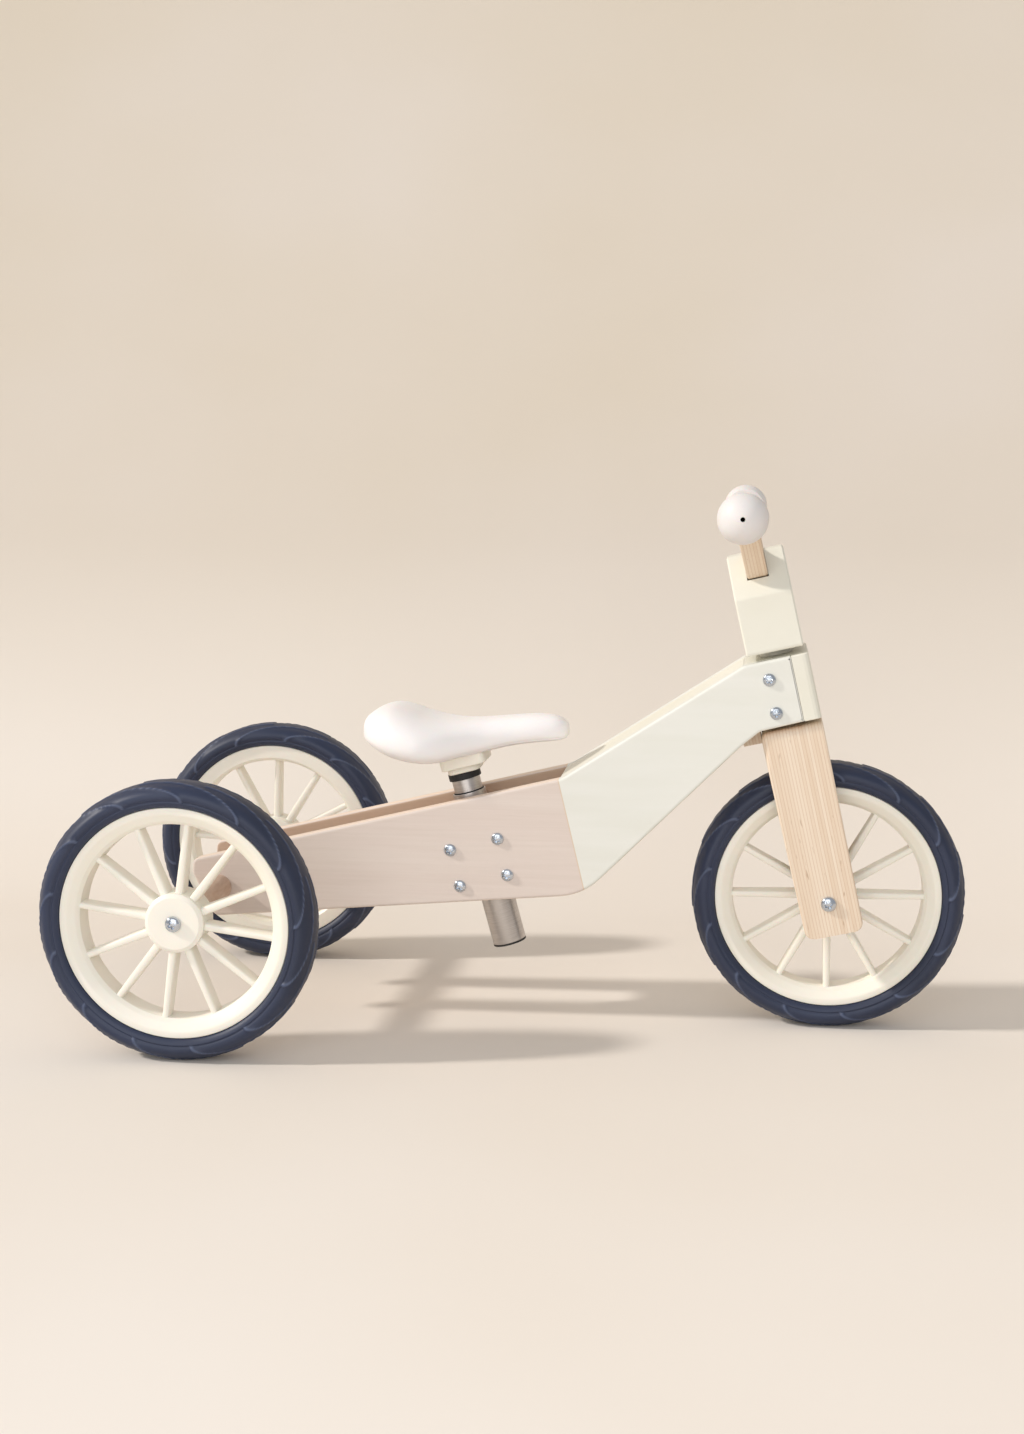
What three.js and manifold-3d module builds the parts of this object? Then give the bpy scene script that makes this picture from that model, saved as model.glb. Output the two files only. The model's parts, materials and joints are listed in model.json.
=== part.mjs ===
// A child's three-wheeled wooden balance bike: two plywood side panels, a raked laminated fork,
// a plywood handlebar, three spoked wheels with foam tyres, and a saddle on a sliding post.
// Millimetres. +X points forward, +Y to the rider's left and +Z up. The origin is on the ground,
// midway between the two axles.
import * as THREE from 'three';
import { mergeVertices } from 'three/addons/utils/BufferGeometryUtils.js';
import Module from 'manifold-3d';

const wasm = await Module();
wasm.setup();

// ---- driving dimensions -------------------------------------------------------------------

const GAP = 0.3;                  // clearance between pieces that touch
const WHEELBASE = 570;
const TRACK = 340;                // between the rear wheels' middle planes
const TYRE_RADIUS = 125;
const TYRE_HALF_WIDTH = 21;
const WHEEL_SIDES = 32;           // facets round a tyre and a rim
const HALF_FACET = Math.PI / WHEEL_SIDES;
const SPOKES = 12;
const RIM_RADIUS = 103.4;
const RIM_HALF_WIDTH = 16;
const RIM_SEAT_RADIUS = 98.5;
const LIP_RADIUS = 97.5;          // the rim's outer face slopes in from here to the well
const WELL_RADIUS = 87.5;         // inside of the rim, where the spokes end
const WELL_OUTER = 8;             // ends of the well, from the wheel's middle plane
const WELL_INNER = -13;
const HUB_RADIUS = 26.5;
const HUB_OUTER = 15;             // hub's outer face, from the wheel's middle plane
const HUB_INNER = -18;
const BEARING_RADIUS = 11;
const BEARING_WIDTH = 7;
const HUB_BORE = BEARING_RADIUS + 0.15;
const HUB_WALL = 3.5;             // closes the hub's outer end, round the bolt's neck
const AXLE_RADIUS = 4;
const AXLE_HEAD_RADIUS = 7;
const AXLE_NECK = 5.6;            // what passes through the hub's wall
const SPACER_NECK = 6.5;          // of a spacer, where it meets the inner bearing

const PANEL_THICKNESS = 15;
const FRAME_HALF_WIDTH = 46;
const INNER_HALF_GAP = FRAME_HALF_WIDTH - PANEL_THICKNESS;
const EDGE_ROUND = 1.2;
const BEAM_RADIUS = 12;
const SCREW_RADIUS = 2.5;
const SCREW_HEAD_RADIUS = 5.8;
const SCREW_LENGTH = 30;

const HEAD_TILT = THREE.MathUtils.degToRad(12.8);   // steering axis, leaning back
const HEAD_BOTTOM = 169.3;        // heights along the steering axis, above the front axle
const HEAD_TOP = 229.5;
const HEAD_FRONT = 28.5;          // ahead of the steering axis
const HEAD_SEAM = 12.3;           // front end of the side panels
const HEAD_REAR = -30;
const HEAD_SCREW_BACK = 10.25;    // behind the steering axis
const HEAD_SCREW_HEIGHTS = [212.6, 181.7];
const STEER_RADIUS = 6;
const STEER_BOLT_TOP = 292;
const BUSH_RADIUS = 10;
const INSERT_RADIUS = 9;          // threaded insert in the stem's foot
const INSERT_TOP = 261;

const FORK_HALF_WIDTH = 42;
const FORK_HALF_GAP = 27;
const FORK_BOTTOM = -30;
const FORK_TOP = 165;
const FORK_CROWN = 139;           // underside of the crown, over the tyre
const FORK_DEPTH_TOP = 28.5;      // half depth fore and aft
const FORK_DEPTH_BOTTOM = 26.5;
const FORK_SHOULDER_ROUND = 7.5;  // lets the crown turn under the side panels

const STEM_BOTTOM = 236;
const STEM_SHOULDER = 288;
const STEM_TOP = 326;
const STEM_HALF_DEPTH = 26;
const STEM_TOP_HALF_WIDTH = 16;
const STEM_SCREW_OUT = 10;
const STEM_SCREW_UP = 315;
const STEM_SCREW_SUNK = 4;        // depth of the counterbores that hide the heads
const STEM_SCREW_LENGTH = 38;
const BAR_THICKNESS = 19;
const BAR_SETBACK = -1.5;         // the bar's middle plane, from the steering axis
const BAR_LOW = 303;
const GRIP_HEIGHT = 362.6;
const GRIP_BALL_RADIUS = 21.2;
const GRIP_BALL_AT = 180;
const GRIP_START = 90;
const TENON_RADIUS = 9.4;

const SEAT_TILT = THREE.MathUtils.degToRad(14.9);   // seat tube, leaning back
const SEAT_FOOT = new THREE.Vector3(-13, 0, 68.6);  // bottom end of the seat tube
const SLEEVE_RADIUS = 15.9;
const SLEEVE_TOP = 151;
const SLEEVE_BORE = 14.7;
const LINER_RADIUS = 14.4;        // of the liner and the end ring's plug, inside the sleeve
const POST_RADIUS = 13.6;
const POST_BORE = 11.8;
const POST_BOTTOM = 18;           // leaves 8 mm of downward travel above the end ring's plug
const POST_TOP = 170.5;
const SPIGOT_BOTTOM = 148;        // the bracket's spigot reaches down into the post from here
const SEAT_BLOCK_MIDDLE = 90;     // heights along the seat tube, above its foot
const SEAT_BLOCK_HALF = 34;
const SEAT_SCREW_OUT = 23;
const SEAT_SCREW_UP = 17.6;
const LOCK_SCREW_RADIUS = 3;
const PLATE_BOTTOM = 176.5;
const PLATE_TOP = 189;

// ---- materials ----------------------------------------------------------------------------

function finish(color, roughness, metalness = 0) {
  return new THREE.MeshStandardMaterial({ color, roughness, metalness });
}

const WASHED_WOOD = finish('#dccfc4', 0.6);
const LAMINATED_WOOD = finish('#e0c8ab', 0.6);
const CREAM_PAINT = finish('#ebe7dd', 0.45);
const CREAM_PLASTIC = finish('#f0ead8', 0.4);
const FOAM_TYRE = finish('#3a3d52', 0.75);
const WHITE_RUBBER = finish('#f3efef', 0.55);
const BLACK_RUBBER = finish('#242424', 0.7);
const NYLON = finish('#d8d4c8', 0.5);
const ZINC = finish('#c9ccd0', 0.25, 1);
const POST_METAL = finish('#a8a09c', 0.4, 1);

// ---- geometry helpers ---------------------------------------------------------------------

// A closed geometry as a solid that can be joined and cut.
function solid(geometry) {
  const bare = geometry.clone();
  bare.deleteAttribute('normal');
  bare.deleteAttribute('uv');
  const merged = mergeVertices(bare, 1e-3);
  return new wasm.Manifold(new wasm.Mesh({
    numProp: 3,
    vertProperties: new Float32Array(merged.attributes.position.array),
    triVerts: new Uint32Array(merged.index.array),
  }));
}

function geometryOf(body) {
  const mesh = body.getMesh();
  const geometry = new THREE.BufferGeometry();
  geometry.setAttribute('position', new THREE.BufferAttribute(mesh.vertProperties, 3));
  geometry.setIndex(new THREE.BufferAttribute(mesh.triVerts, 1));
  geometry.computeVertexNormals();
  return geometry;
}

function join(...geometries) {
  return geometryOf(geometries.map(solid).reduce((a, b) => a.add(b)));
}

function cut(base, ...tools) {
  return geometryOf(tools.map(solid).reduce((a, b) => a.subtract(b), solid(base)));
}

function common(a, b) {
  return geometryOf(solid(a).intersect(solid(b)));
}

// A closed (radius, height) profile turned about Y.
function turned(profile, sides, closed = true) {
  const points = profile.map(([r, y]) => new THREE.Vector2(r, y));
  if (closed) points.push(points[0].clone());
  return new THREE.LatheGeometry(points, sides);
}

function aboutZ(geometry) {
  return geometry.rotateX(Math.PI / 2);
}

function aboutX(geometry) {
  return geometry.rotateZ(-Math.PI / 2);
}

function ring(outer, inner, bottom, top, sides) {
  return turned([[inner, bottom], [outer, bottom], [outer, top], [inner, top]], sides);
}

function rod(radius, bottom, top, sides) {
  return new THREE.CylinderGeometry(radius, radius, top - bottom, sides)
    .translate(0, (top + bottom) / 2, 0);
}

function box([x0, y0, z0], [x1, y1, z1]) {
  return new THREE.BoxGeometry(x1 - x0, y1 - y0, z1 - z0)
    .translate((x0 + x1) / 2, (y0 + y1) / 2, (z0 + z1) / 2);
}

function polygon(points) {
  return new THREE.Shape(points.map(([x, y]) => new THREE.Vector2(x, y)));
}

// A polygon whose corners are rounded: each point is [x, y, corner radius].
function rounded(points) {
  const shape = new THREE.Shape();
  points.forEach(([x, y, radius], i) => {
    const corner = new THREE.Vector2(x, y);
    const before = points[(i + points.length - 1) % points.length];
    const after = points[(i + 1) % points.length];
    const back = new THREE.Vector2(before[0], before[1]).sub(corner);
    const ahead = new THREE.Vector2(after[0], after[1]).sub(corner);
    const half = Math.acos(back.dot(ahead) / (back.length() * ahead.length())) / 2;
    const reach = radius / Math.tan(half);
    const start = corner.clone().add(back.setLength(reach));
    const end = corner.clone().add(ahead.setLength(reach));
    if (i === 0) shape.moveTo(start.x, start.y);
    else shape.lineTo(start.x, start.y);
    if (radius > 0) shape.quadraticCurveTo(x, y, end.x, end.y);
  });
  shape.closePath();
  return shape;
}

// A flat outline given thickness, with its edges eased by `ease`, from 0 up to `thickness` in z.
function slab(shape, thickness, ease = 0, curveSegments = 4) {
  return new THREE.ExtrudeGeometry(shape, {
    depth: thickness - 2 * ease,
    bevelEnabled: ease > 0,
    bevelThickness: ease,
    bevelSize: ease,
    bevelOffset: -ease,
    bevelSegments: 1,
    curveSegments,
  }).translate(0, 0, ease);
}

// An (x, z) outline, thick along Y from y0 to y1.
function slabAcross(shape, y0, y1, ease, curveSegments) {
  return slab(shape, y1 - y0, ease, curveSegments).rotateX(Math.PI / 2).translate(0, y1, 0);
}

// A (y, z) outline, thick along X from x0 to x1.
function slabAlong(shape, x0, x1, ease, curveSegments) {
  const turn = new THREE.Matrix4().makeBasis(
    new THREE.Vector3(0, 1, 0), new THREE.Vector3(0, 0, 1), new THREE.Vector3(1, 0, 0));
  return slab(shape, x1 - x0, ease, curveSegments).applyMatrix4(turn).translate(x0, 0, 0);
}

function piece(parent, name, geometry, material) {
  const mesh = new THREE.Mesh(geometry, material.clone());
  mesh.name = name;
  parent.add(mesh);
  return mesh;
}

// ---- the three frames that the object is drawn in -----------------------------------------

const bike = new THREE.Group();

// Steering frame: z runs up the steering axis from the front axle, x forward, y to the left.
const steering = new THREE.Group();
steering.position.set(WHEELBASE / 2, 0, TYRE_RADIUS);
steering.rotation.y = -HEAD_TILT;
bike.add(steering);

// Seat frame: z runs up the seat tube from its bottom end.
const seat = new THREE.Group();
seat.position.copy(SEAT_FOOT);
seat.rotation.y = -SEAT_TILT;
bike.add(seat);

// A point of the steering frame's middle plane in the (x, z) plane of the bike.
function fromSteering(ahead, up) {
  return [
    WHEELBASE / 2 + ahead * Math.cos(HEAD_TILT) - up * Math.sin(HEAD_TILT),
    TYRE_RADIUS + ahead * Math.sin(HEAD_TILT) + up * Math.cos(HEAD_TILT),
  ];
}

// A point of the seat frame's middle plane in the (x, z) plane of the bike.
function fromSeat(ahead, up) {
  return [
    SEAT_FOOT.x + ahead * Math.cos(SEAT_TILT) - up * Math.sin(SEAT_TILT),
    SEAT_FOOT.z + ahead * Math.sin(SEAT_TILT) + up * Math.cos(SEAT_TILT),
  ];
}

// ---- fasteners ----------------------------------------------------------------------------

// A domed screw along Y: its head stands on y = 0 and its shank runs down to -length.
function screw(shank, head, height, length, sides = 8) {
  return turned([
    [0, -length], [shank, -length], [shank, GAP], [head, GAP],
    [0.75 * head, GAP + 0.8 * height], [0, GAP + height],
  ], sides, false);
}

function frameScrew(length = SCREW_LENGTH) {
  return screw(SCREW_RADIUS, SCREW_HEAD_RADIUS, 3.2, length);
}

// Drills a hole along Y through the (x, z) point, from y0 to y1.
function drillAcross([x, z], radius, y0, y1, sides = 8) {
  return rod(radius, y0, y1, sides).translate(x, 0, z);
}

// ---- frame --------------------------------------------------------------------------------

const REAR_AXLE = [-WHEELBASE / 2, TYRE_RADIUS];
const BACK_TOP = [-310, 151];
const WAIST_TOP = [41, 236];      // where the top edge turns up towards the head
const WAIST_BOTTOM = [61, 127.2]; // where the bottom edge turns up towards the head
const PAINT_TOP = [38, 234.6];    // the painted front part begins on this line
const PAINT_BOTTOM = [62.5, 131];
const BACK_BOTTOM = [-291, 96.6];
const BACK_LOW = [-311, 138];
const THROAT = [203.8, 268.9];    // lower edge, just behind the fork

const seatScrewPoints = [1, -1].flatMap((up) => [-1, 1].map((ahead) =>
  fromSeat(ahead * SEAT_SCREW_OUT, SEAT_BLOCK_MIDDLE + up * SEAT_SCREW_UP)));
const headScrewPoints = HEAD_SCREW_HEIGHTS.map((up) => fromSteering(-HEAD_SCREW_BACK, up));

function panelOutline() {
  return rounded([
    [...BACK_TOP, 7],
    [...BACK_LOW, 8],
    [...BACK_BOTTOM, 9],
    [...WAIST_BOTTOM, 62],
    [...THROAT, 20],
    [...fromSteering(-28, 168.2), 12],
    [...fromSteering(HEAD_SEAM, HEAD_BOTTOM), 0],
    [...fromSteering(HEAD_SEAM, HEAD_TOP), 0],
    [...fromSteering(HEAD_REAR, HEAD_TOP), 6],
    [...WAIST_TOP, 30],
  ]);
}

function addPanels() {
  for (const [side, sign] of [['right', -1], ['left', 1]]) {
    const y0 = sign > 0 ? INNER_HALF_GAP : -FRAME_HALF_WIDTH;
    const panel = slabAcross(panelOutline(), y0, y0 + PANEL_THICKNESS, EDGE_ROUND);
    const holes = [...seatScrewPoints, ...headScrewPoints].map((point) =>
      drillAcross(point, SCREW_RADIUS + GAP, y0 - 1, y0 + PANEL_THICKNESS + 1));
    const beamHole = drillAcross(
      REAR_AXLE, BEAM_RADIUS + GAP, y0 - 1, y0 + PANEL_THICKNESS + 1, 20);
    piece(bike, `side_panel_${side}`, cut(panel, beamHole, ...holes), WASHED_WOOD);
    addSideScrews(side, sign);
  }
}

function addSideScrews(side, sign) {
  const rows = [['seat', seatScrewPoints], ['head', headScrewPoints]];
  for (const [row, points] of rows) {
    points.forEach(([x, z], i) => {
      const mesh = piece(bike, `${row}_screw_${side}_${i + 1}`, frameScrew(), ZINC);
      mesh.position.set(x, sign * FRAME_HALF_WIDTH, z);
      mesh.rotation.z = sign > 0 ? 0 : Math.PI;
    });
  }
}

// The painted filler between the panels, from the waist up to the head.
function addCore() {
  const inset = 0.6;
  const outline = polygon([
    [PAINT_TOP[0], PAINT_TOP[1] - inset],
    [PAINT_BOTTOM[0] + 1, PAINT_BOTTOM[1] + inset],
    [WAIST_BOTTOM[0] + 16, WAIST_BOTTOM[1] + 17.5],
    [THROAT[0] - 8, THROAT[1] - 7],
    fromSteering(-52, HEAD_BOTTOM + GAP),
    fromSteering(HEAD_REAR - GAP, HEAD_BOTTOM + GAP),
    fromSteering(HEAD_REAR - GAP, HEAD_TOP - inset),
    [WAIST_TOP[0] + 12, WAIST_TOP[1] + 7.2],
  ]);
  const reach = INNER_HALF_GAP - GAP;
  piece(bike, 'front_core', slabAcross(outline, -reach, reach, 0), CREAM_PAINT);
}

// A T in plan: a full-width front strip, and a tongue held between the panels.
function addHeadBlock() {
  const tongue = INNER_HALF_GAP - GAP;
  const plan = rounded([
    [HEAD_FRONT, -FRAME_HALF_WIDTH, 6],
    [HEAD_FRONT, FRAME_HALF_WIDTH, 6],
    [HEAD_SEAM + GAP, FRAME_HALF_WIDTH, 0],
    [HEAD_SEAM + GAP, tongue, 0],
    [HEAD_REAR, tongue, 0],
    [HEAD_REAR, -tongue, 0],
    [HEAD_SEAM + GAP, -tongue, 0],
    [HEAD_SEAM + GAP, -FRAME_HALF_WIDTH, 0],
  ]);
  const block = slab(plan, HEAD_TOP - HEAD_BOTTOM, 0.8).translate(0, 0, HEAD_BOTTOM);
  const bore = aboutZ(rod(BUSH_RADIUS, HEAD_BOTTOM - 1, HEAD_TOP + 1, 20));
  const holeEnd = FRAME_HALF_WIDTH - SCREW_LENGTH - 1.5;
  const screwHoles = HEAD_SCREW_HEIGHTS.flatMap((up) => [-1, 1].map((sign) =>
    rod(SCREW_RADIUS + GAP, holeEnd, tongue + 1, 8)
      .rotateZ(sign > 0 ? 0 : Math.PI)
      .translate(-HEAD_SCREW_BACK, 0, up)));
  piece(steering, 'head_block', cut(block, bore, ...screwHoles), CREAM_PAINT);
}

// A flanged bush pressed into each end of the head block.
function addHeadBushes() {
  const flange = 15;
  const inner = STEER_RADIUS + GAP;
  const sleeve = BUSH_RADIUS - GAP;
  const depth = 16;
  const lowerFace = FORK_TOP + GAP;
  const upperFace = STEM_BOTTOM - GAP;
  const lower = turned([
    [inner, lowerFace], [flange, lowerFace], [flange, HEAD_BOTTOM - GAP],
    [sleeve, HEAD_BOTTOM - GAP], [sleeve, HEAD_BOTTOM + depth], [inner, HEAD_BOTTOM + depth],
  ], 20);
  const upper = turned([
    [inner, HEAD_TOP - depth], [sleeve, HEAD_TOP - depth], [sleeve, HEAD_TOP + GAP],
    [flange, HEAD_TOP + GAP], [flange, upperFace], [inner, upperFace],
  ], 20);
  piece(steering, 'head_bush_lower', aboutZ(lower), NYLON);
  piece(steering, 'head_bush_upper', aboutZ(upper), NYLON);
}

function addAxleBeam() {
  const end = TRACK / 2 + HUB_INNER - 4.8;
  const holes = [-1, 1].map((sign) =>
    rod(AXLE_RADIUS + GAP, end - 40, end + 1, 16).rotateZ(sign > 0 ? 0 : Math.PI));
  const mesh = piece(bike, 'axle_beam', cut(rod(BEAM_RADIUS, -end, end, 20), ...holes),
    WASHED_WOOD);
  mesh.position.set(REAR_AXLE[0], 0, REAR_AXLE[1]);
}

// ---- seat tube and saddle -----------------------------------------------------------------

function addSeatBlock() {
  const reach = INNER_HALF_GAP - GAP;
  const low = SEAT_BLOCK_MIDDLE - SEAT_BLOCK_HALF;
  const high = SEAT_BLOCK_MIDDLE + SEAT_BLOCK_HALF;
  const block = box([-SEAT_BLOCK_HALF, -reach, low], [SEAT_BLOCK_HALF, reach, high]);
  const bore = aboutZ(rod(SLEEVE_RADIUS + GAP, low - 1, high + 1, 24));
  const holes = [-1, 1].flatMap((ahead) => [-1, 1].map((up) =>
    drillAcross([ahead * SEAT_SCREW_OUT, SEAT_BLOCK_MIDDLE + up * SEAT_SCREW_UP],
      SCREW_RADIUS + GAP, -reach - 1, reach + 1)));
  const lockHole = lockScrewHole(-SEAT_BLOCK_HALF - 1);
  piece(seat, 'seat_block', cut(block, bore, lockHole, ...holes), WASHED_WOOD);
}

// The lock screw comes in from behind and presses on the post through the sleeve.
function lockScrewHole(from) {
  return aboutX(rod(LOCK_SCREW_RADIUS + 0.4, from, -POST_RADIUS, 12))
    .translate(0, 0, SEAT_BLOCK_MIDDLE);
}

function addSeatTube() {
  const lip = 1.5;
  const plug = [12, 8];
  const sleeve = aboutZ(ring(SLEEVE_RADIUS, SLEEVE_BORE, lip + GAP, SLEEVE_TOP, 24));
  piece(seat, 'seat_sleeve', cut(sleeve, lockScrewHole(-SLEEVE_RADIUS - 1)), POST_METAL);
  const endRing = turned([
    [plug[0], 0], [SLEEVE_RADIUS, 0], [SLEEVE_RADIUS, lip], [LINER_RADIUS, lip],
    [LINER_RADIUS, plug[1]], plug,
  ], 24);
  piece(seat, 'sleeve_end_ring', aboutZ(endRing), BLACK_RUBBER);
  piece(seat, 'post_bush', aboutZ(ring(LINER_RADIUS, POST_RADIUS + 0.25, 108, SLEEVE_TOP + 1, 24)),
    BLACK_RUBBER);
  const lock = screw(LOCK_SCREW_RADIUS, 5, 5, SEAT_BLOCK_HALF - POST_RADIUS - GAP, 12);
  const mesh = piece(seat, 'seat_lock_screw', lock, ZINC);
  mesh.rotation.z = Math.PI / 2;
  mesh.position.set(-SEAT_BLOCK_HALF, 0, SEAT_BLOCK_MIDDLE);
}

function addPost() {
  piece(seat, 'seat_post', aboutZ(ring(POST_RADIUS, POST_BORE, POST_BOTTOM, POST_TOP, 24)),
    POST_METAL);
  piece(seat, 'seal_ring', aboutZ(ring(15.5, POST_RADIUS + GAP, 164, POST_TOP, 24)),
    BLACK_RUBBER);
  const spigot = aboutZ(rod(POST_BORE - GAP, SPIGOT_BOTTOM, POST_TOP + 2, 20));
  const step = box([-13, -18, POST_TOP + GAP], [18.5, 18, PLATE_BOTTOM + 1]);
  const plate = box([-17, -24, PLATE_BOTTOM], [26.5, 24, PLATE_TOP]);
  piece(seat, 'saddle_bracket', join(plate, step, spigot), CREAM_PLASTIC);
}

// Stations from tail to nose: [x, top z, bottom z, half width].
const SADDLE = [
  [-151, 272, 269, 0], [-143, 285, 264.5, 34], [-134, 293, 260, 49], [-122, 297.2, 251.5, 58],
  [-107, 293.5, 247.3, 63.5], [-90, 287.6, 245.4, 63.5], [-74, 284.6, 246.2, 57],
  [-56, 284.3, 249.8, 44], [-36, 285.2, 254.2, 32], [-12, 288, 259.8, 25],
  [12, 289.4, 263.3, 21.5], [30, 288.4, 265.2, 18], [39, 284, 265.5, 13], [44, 276, 270, 0],
];

// A sphere drawn out along the stations: flat-bottomed sections, crowned on top.
function saddleShape() {
  const lane = (k) => new THREE.SplineCurve(SADDLE.map((s) => new THREE.Vector2(s[0], s[k])));
  const [top, bottom, width] = [lane(1), lane(2), lane(3)];
  const geometry = new THREE.SphereGeometry(1, 16, 20);
  const position = geometry.attributes.position;
  for (let i = 0; i < position.count; i += 1) {
    const polar = Math.acos(THREE.MathUtils.clamp(position.getY(i), -1, 1)) / Math.PI;
    const station = THREE.MathUtils.clamp(polar, 0, 1);
    const around = Math.atan2(position.getZ(i), position.getX(i));
    const onAxis = station < 1e-6 || station > 1 - 1e-6;
    const high = top.getPoint(station);
    const low = bottom.getPoint(station).y;
    const middle = low + 0.35 * (high.y - low);
    const side = onAxis ? 0 : Math.cos(around);
    const lift = onAxis ? 0 : Math.sin(around);
    const rise = lift > 0 ? (high.y - middle) * lift : (middle - low) * lift;
    position.setXYZ(i, high.x, width.getPoint(station).y * side, middle + rise);
  }
  return geometry;
}

function addSaddle() {
  const under = box([-24, -31, SPIGOT_BOTTOM], [33, 31, PLATE_TOP + GAP])
    .rotateY(-SEAT_TILT)
    .translate(SEAT_FOOT.x, SEAT_FOOT.y, SEAT_FOOT.z);
  piece(bike, 'saddle', cut(saddleShape(), under), WHITE_RUBBER);
}

// ---- wheels -------------------------------------------------------------------------------
// A wheel is drawn about Y, round its own middle plane, with its outer face towards +Y.

// The tyre stands on the middle of a facet, so its corners lie a little outside its radius.
function tyreShape() {
  const corner = TYRE_RADIUS / Math.cos(HALF_FACET);
  const half = [
    [RIM_SEAT_RADIUS + GAP, 10.7], [RIM_RADIUS + GAP, 11.7], [RIM_RADIUS + GAP, 16.4],
    [corner - 16, 20.5], [corner - 10, TYRE_HALF_WIDTH], [corner - 3.5, 15], [corner, 3],
  ];
  const lower = half.map(([r, y]) => [r, -y]);
  return turned([...lower, ...[...half].reverse()], WHEEL_SIDES).rotateY(HALF_FACET);
}

// Dished on its outer face, and flat on its inner one.
function rimRing() {
  const corner = WELL_RADIUS + 3;
  const profile = [
    [RIM_SEAT_RADIUS, 11], [RIM_RADIUS, 12], [RIM_RADIUS, RIM_HALF_WIDTH],
    [LIP_RADIUS, RIM_HALF_WIDTH], [corner, WELL_OUTER + 3.5], [WELL_RADIUS, WELL_OUTER],
    [WELL_RADIUS, WELL_INNER], [corner, -RIM_HALF_WIDTH], [RIM_RADIUS, -RIM_HALF_WIDTH],
    [RIM_RADIUS, -12], [RIM_SEAT_RADIUS, -11],
  ];
  return turned(profile, WHEEL_SIDES).rotateY(HALF_FACET);
}

function hubShape() {
  const bore = HUB_BORE;
  const wall = HUB_OUTER - HUB_WALL;
  const eye = 6.2;
  return turned([
    [bore, HUB_INNER], [HUB_RADIUS - 1.5, HUB_INNER], [HUB_RADIUS, HUB_INNER + 1.5],
    [HUB_RADIUS, HUB_OUTER - 1.5], [HUB_RADIUS - 1.5, HUB_OUTER], [eye, HUB_OUTER],
    [eye, wall], [bore, wall],
  ], 24);
}

// A blade-like spoke along +X: oval in section, thinner towards the rim.
function spokeShape() {
  const start = 22;
  const end = RIM_SEAT_RADIUS - 1;
  const spoke = new THREE.CylinderGeometry(1, 1, end - start, 6);
  spoke.rotateZ(-Math.PI / 2).translate((start + end) / 2, 0, 0);
  const position = spoke.attributes.position;
  for (let i = 0; i < position.count; i += 1) {
    const along = (position.getX(i) - start) / (end - start);
    const depth = THREE.MathUtils.lerp(9, 8.5, along);
    const thickness = THREE.MathUtils.lerp(4.4, 3, along);
    position.setY(i, position.getY(i) * depth);
    position.setZ(i, position.getZ(i) * thickness);
  }
  return spoke;
}

function rimShape(phase) {
  const spokes = Array.from({ length: SPOKES }, (_, k) =>
    spokeShape().rotateY(-phase - (k * 2 * Math.PI) / SPOKES));
  return cut(join(rimRing(), hubShape(), ...spokes), aboutHub());
}

// Clears the hub's bore of the spokes' inner ends.
function aboutHub() {
  return rod(HUB_BORE, HUB_INNER - 1, HUB_OUTER - HUB_WALL, 24);
}

function bearingShape(from) {
  return ring(BEARING_RADIUS, AXLE_RADIUS + 0.2, from, from + BEARING_WIDTH, 12);
}

function addWheel(prefix, centre, facing, phase) {
  const wheel = new THREE.Group();
  wheel.position.copy(centre);
  wheel.rotation.z = facing > 0 ? 0 : Math.PI;
  bike.add(wheel);
  piece(wheel, `${prefix}_tyre`, tyreShape(), FOAM_TYRE);
  piece(wheel, `${prefix}_rim`, rimShape(phase), CREAM_PLASTIC);
  const outerBearing = HUB_OUTER - HUB_WALL - GAP - BEARING_WIDTH;
  piece(wheel, `${prefix}_bearing_outer`, bearingShape(outerBearing), ZINC);
  piece(wheel, `${prefix}_bearing_inner`, bearingShape(HUB_INNER + GAP), ZINC);
  return wheel;
}

// Each rear wheel turns on a bolt that screws into the end of the beam.
function addRearWheel(side, sign, phase) {
  const centre = new THREE.Vector3(-WHEELBASE / 2, (sign * TRACK) / 2, TYRE_RADIUS);
  const wheel = addWheel(`rear_${side}`, centre, sign, phase);
  const shoulder = HUB_OUTER - HUB_WALL;
  const bolt = turned([
    [0, -55], [AXLE_RADIUS, -55], [AXLE_RADIUS, shoulder], [AXLE_NECK, shoulder],
    [AXLE_NECK, HUB_OUTER + 0.6], [AXLE_HEAD_RADIUS, HUB_OUTER + 0.6],
    [AXLE_HEAD_RADIUS, HUB_OUTER + 2], [5, HUB_OUTER + 4.4], [0, HUB_OUTER + 5.2],
  ], 16, false);
  piece(wheel, `rear_axle_bolt_${side}`, bolt, ZINC);
  const eye = AXLE_RADIUS + GAP;
  const spacer = turned([
    [eye, HUB_INNER - 4.5], [17, HUB_INNER - 4.5], [17, HUB_INNER - 1.5],
    [SPACER_NECK, HUB_INNER - 1.5], [SPACER_NECK, HUB_INNER], [eye, HUB_INNER],
  ], 16);
  piece(wheel, `rear_axle_spacer_${side}`, spacer, CREAM_PLASTIC);
}

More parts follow.
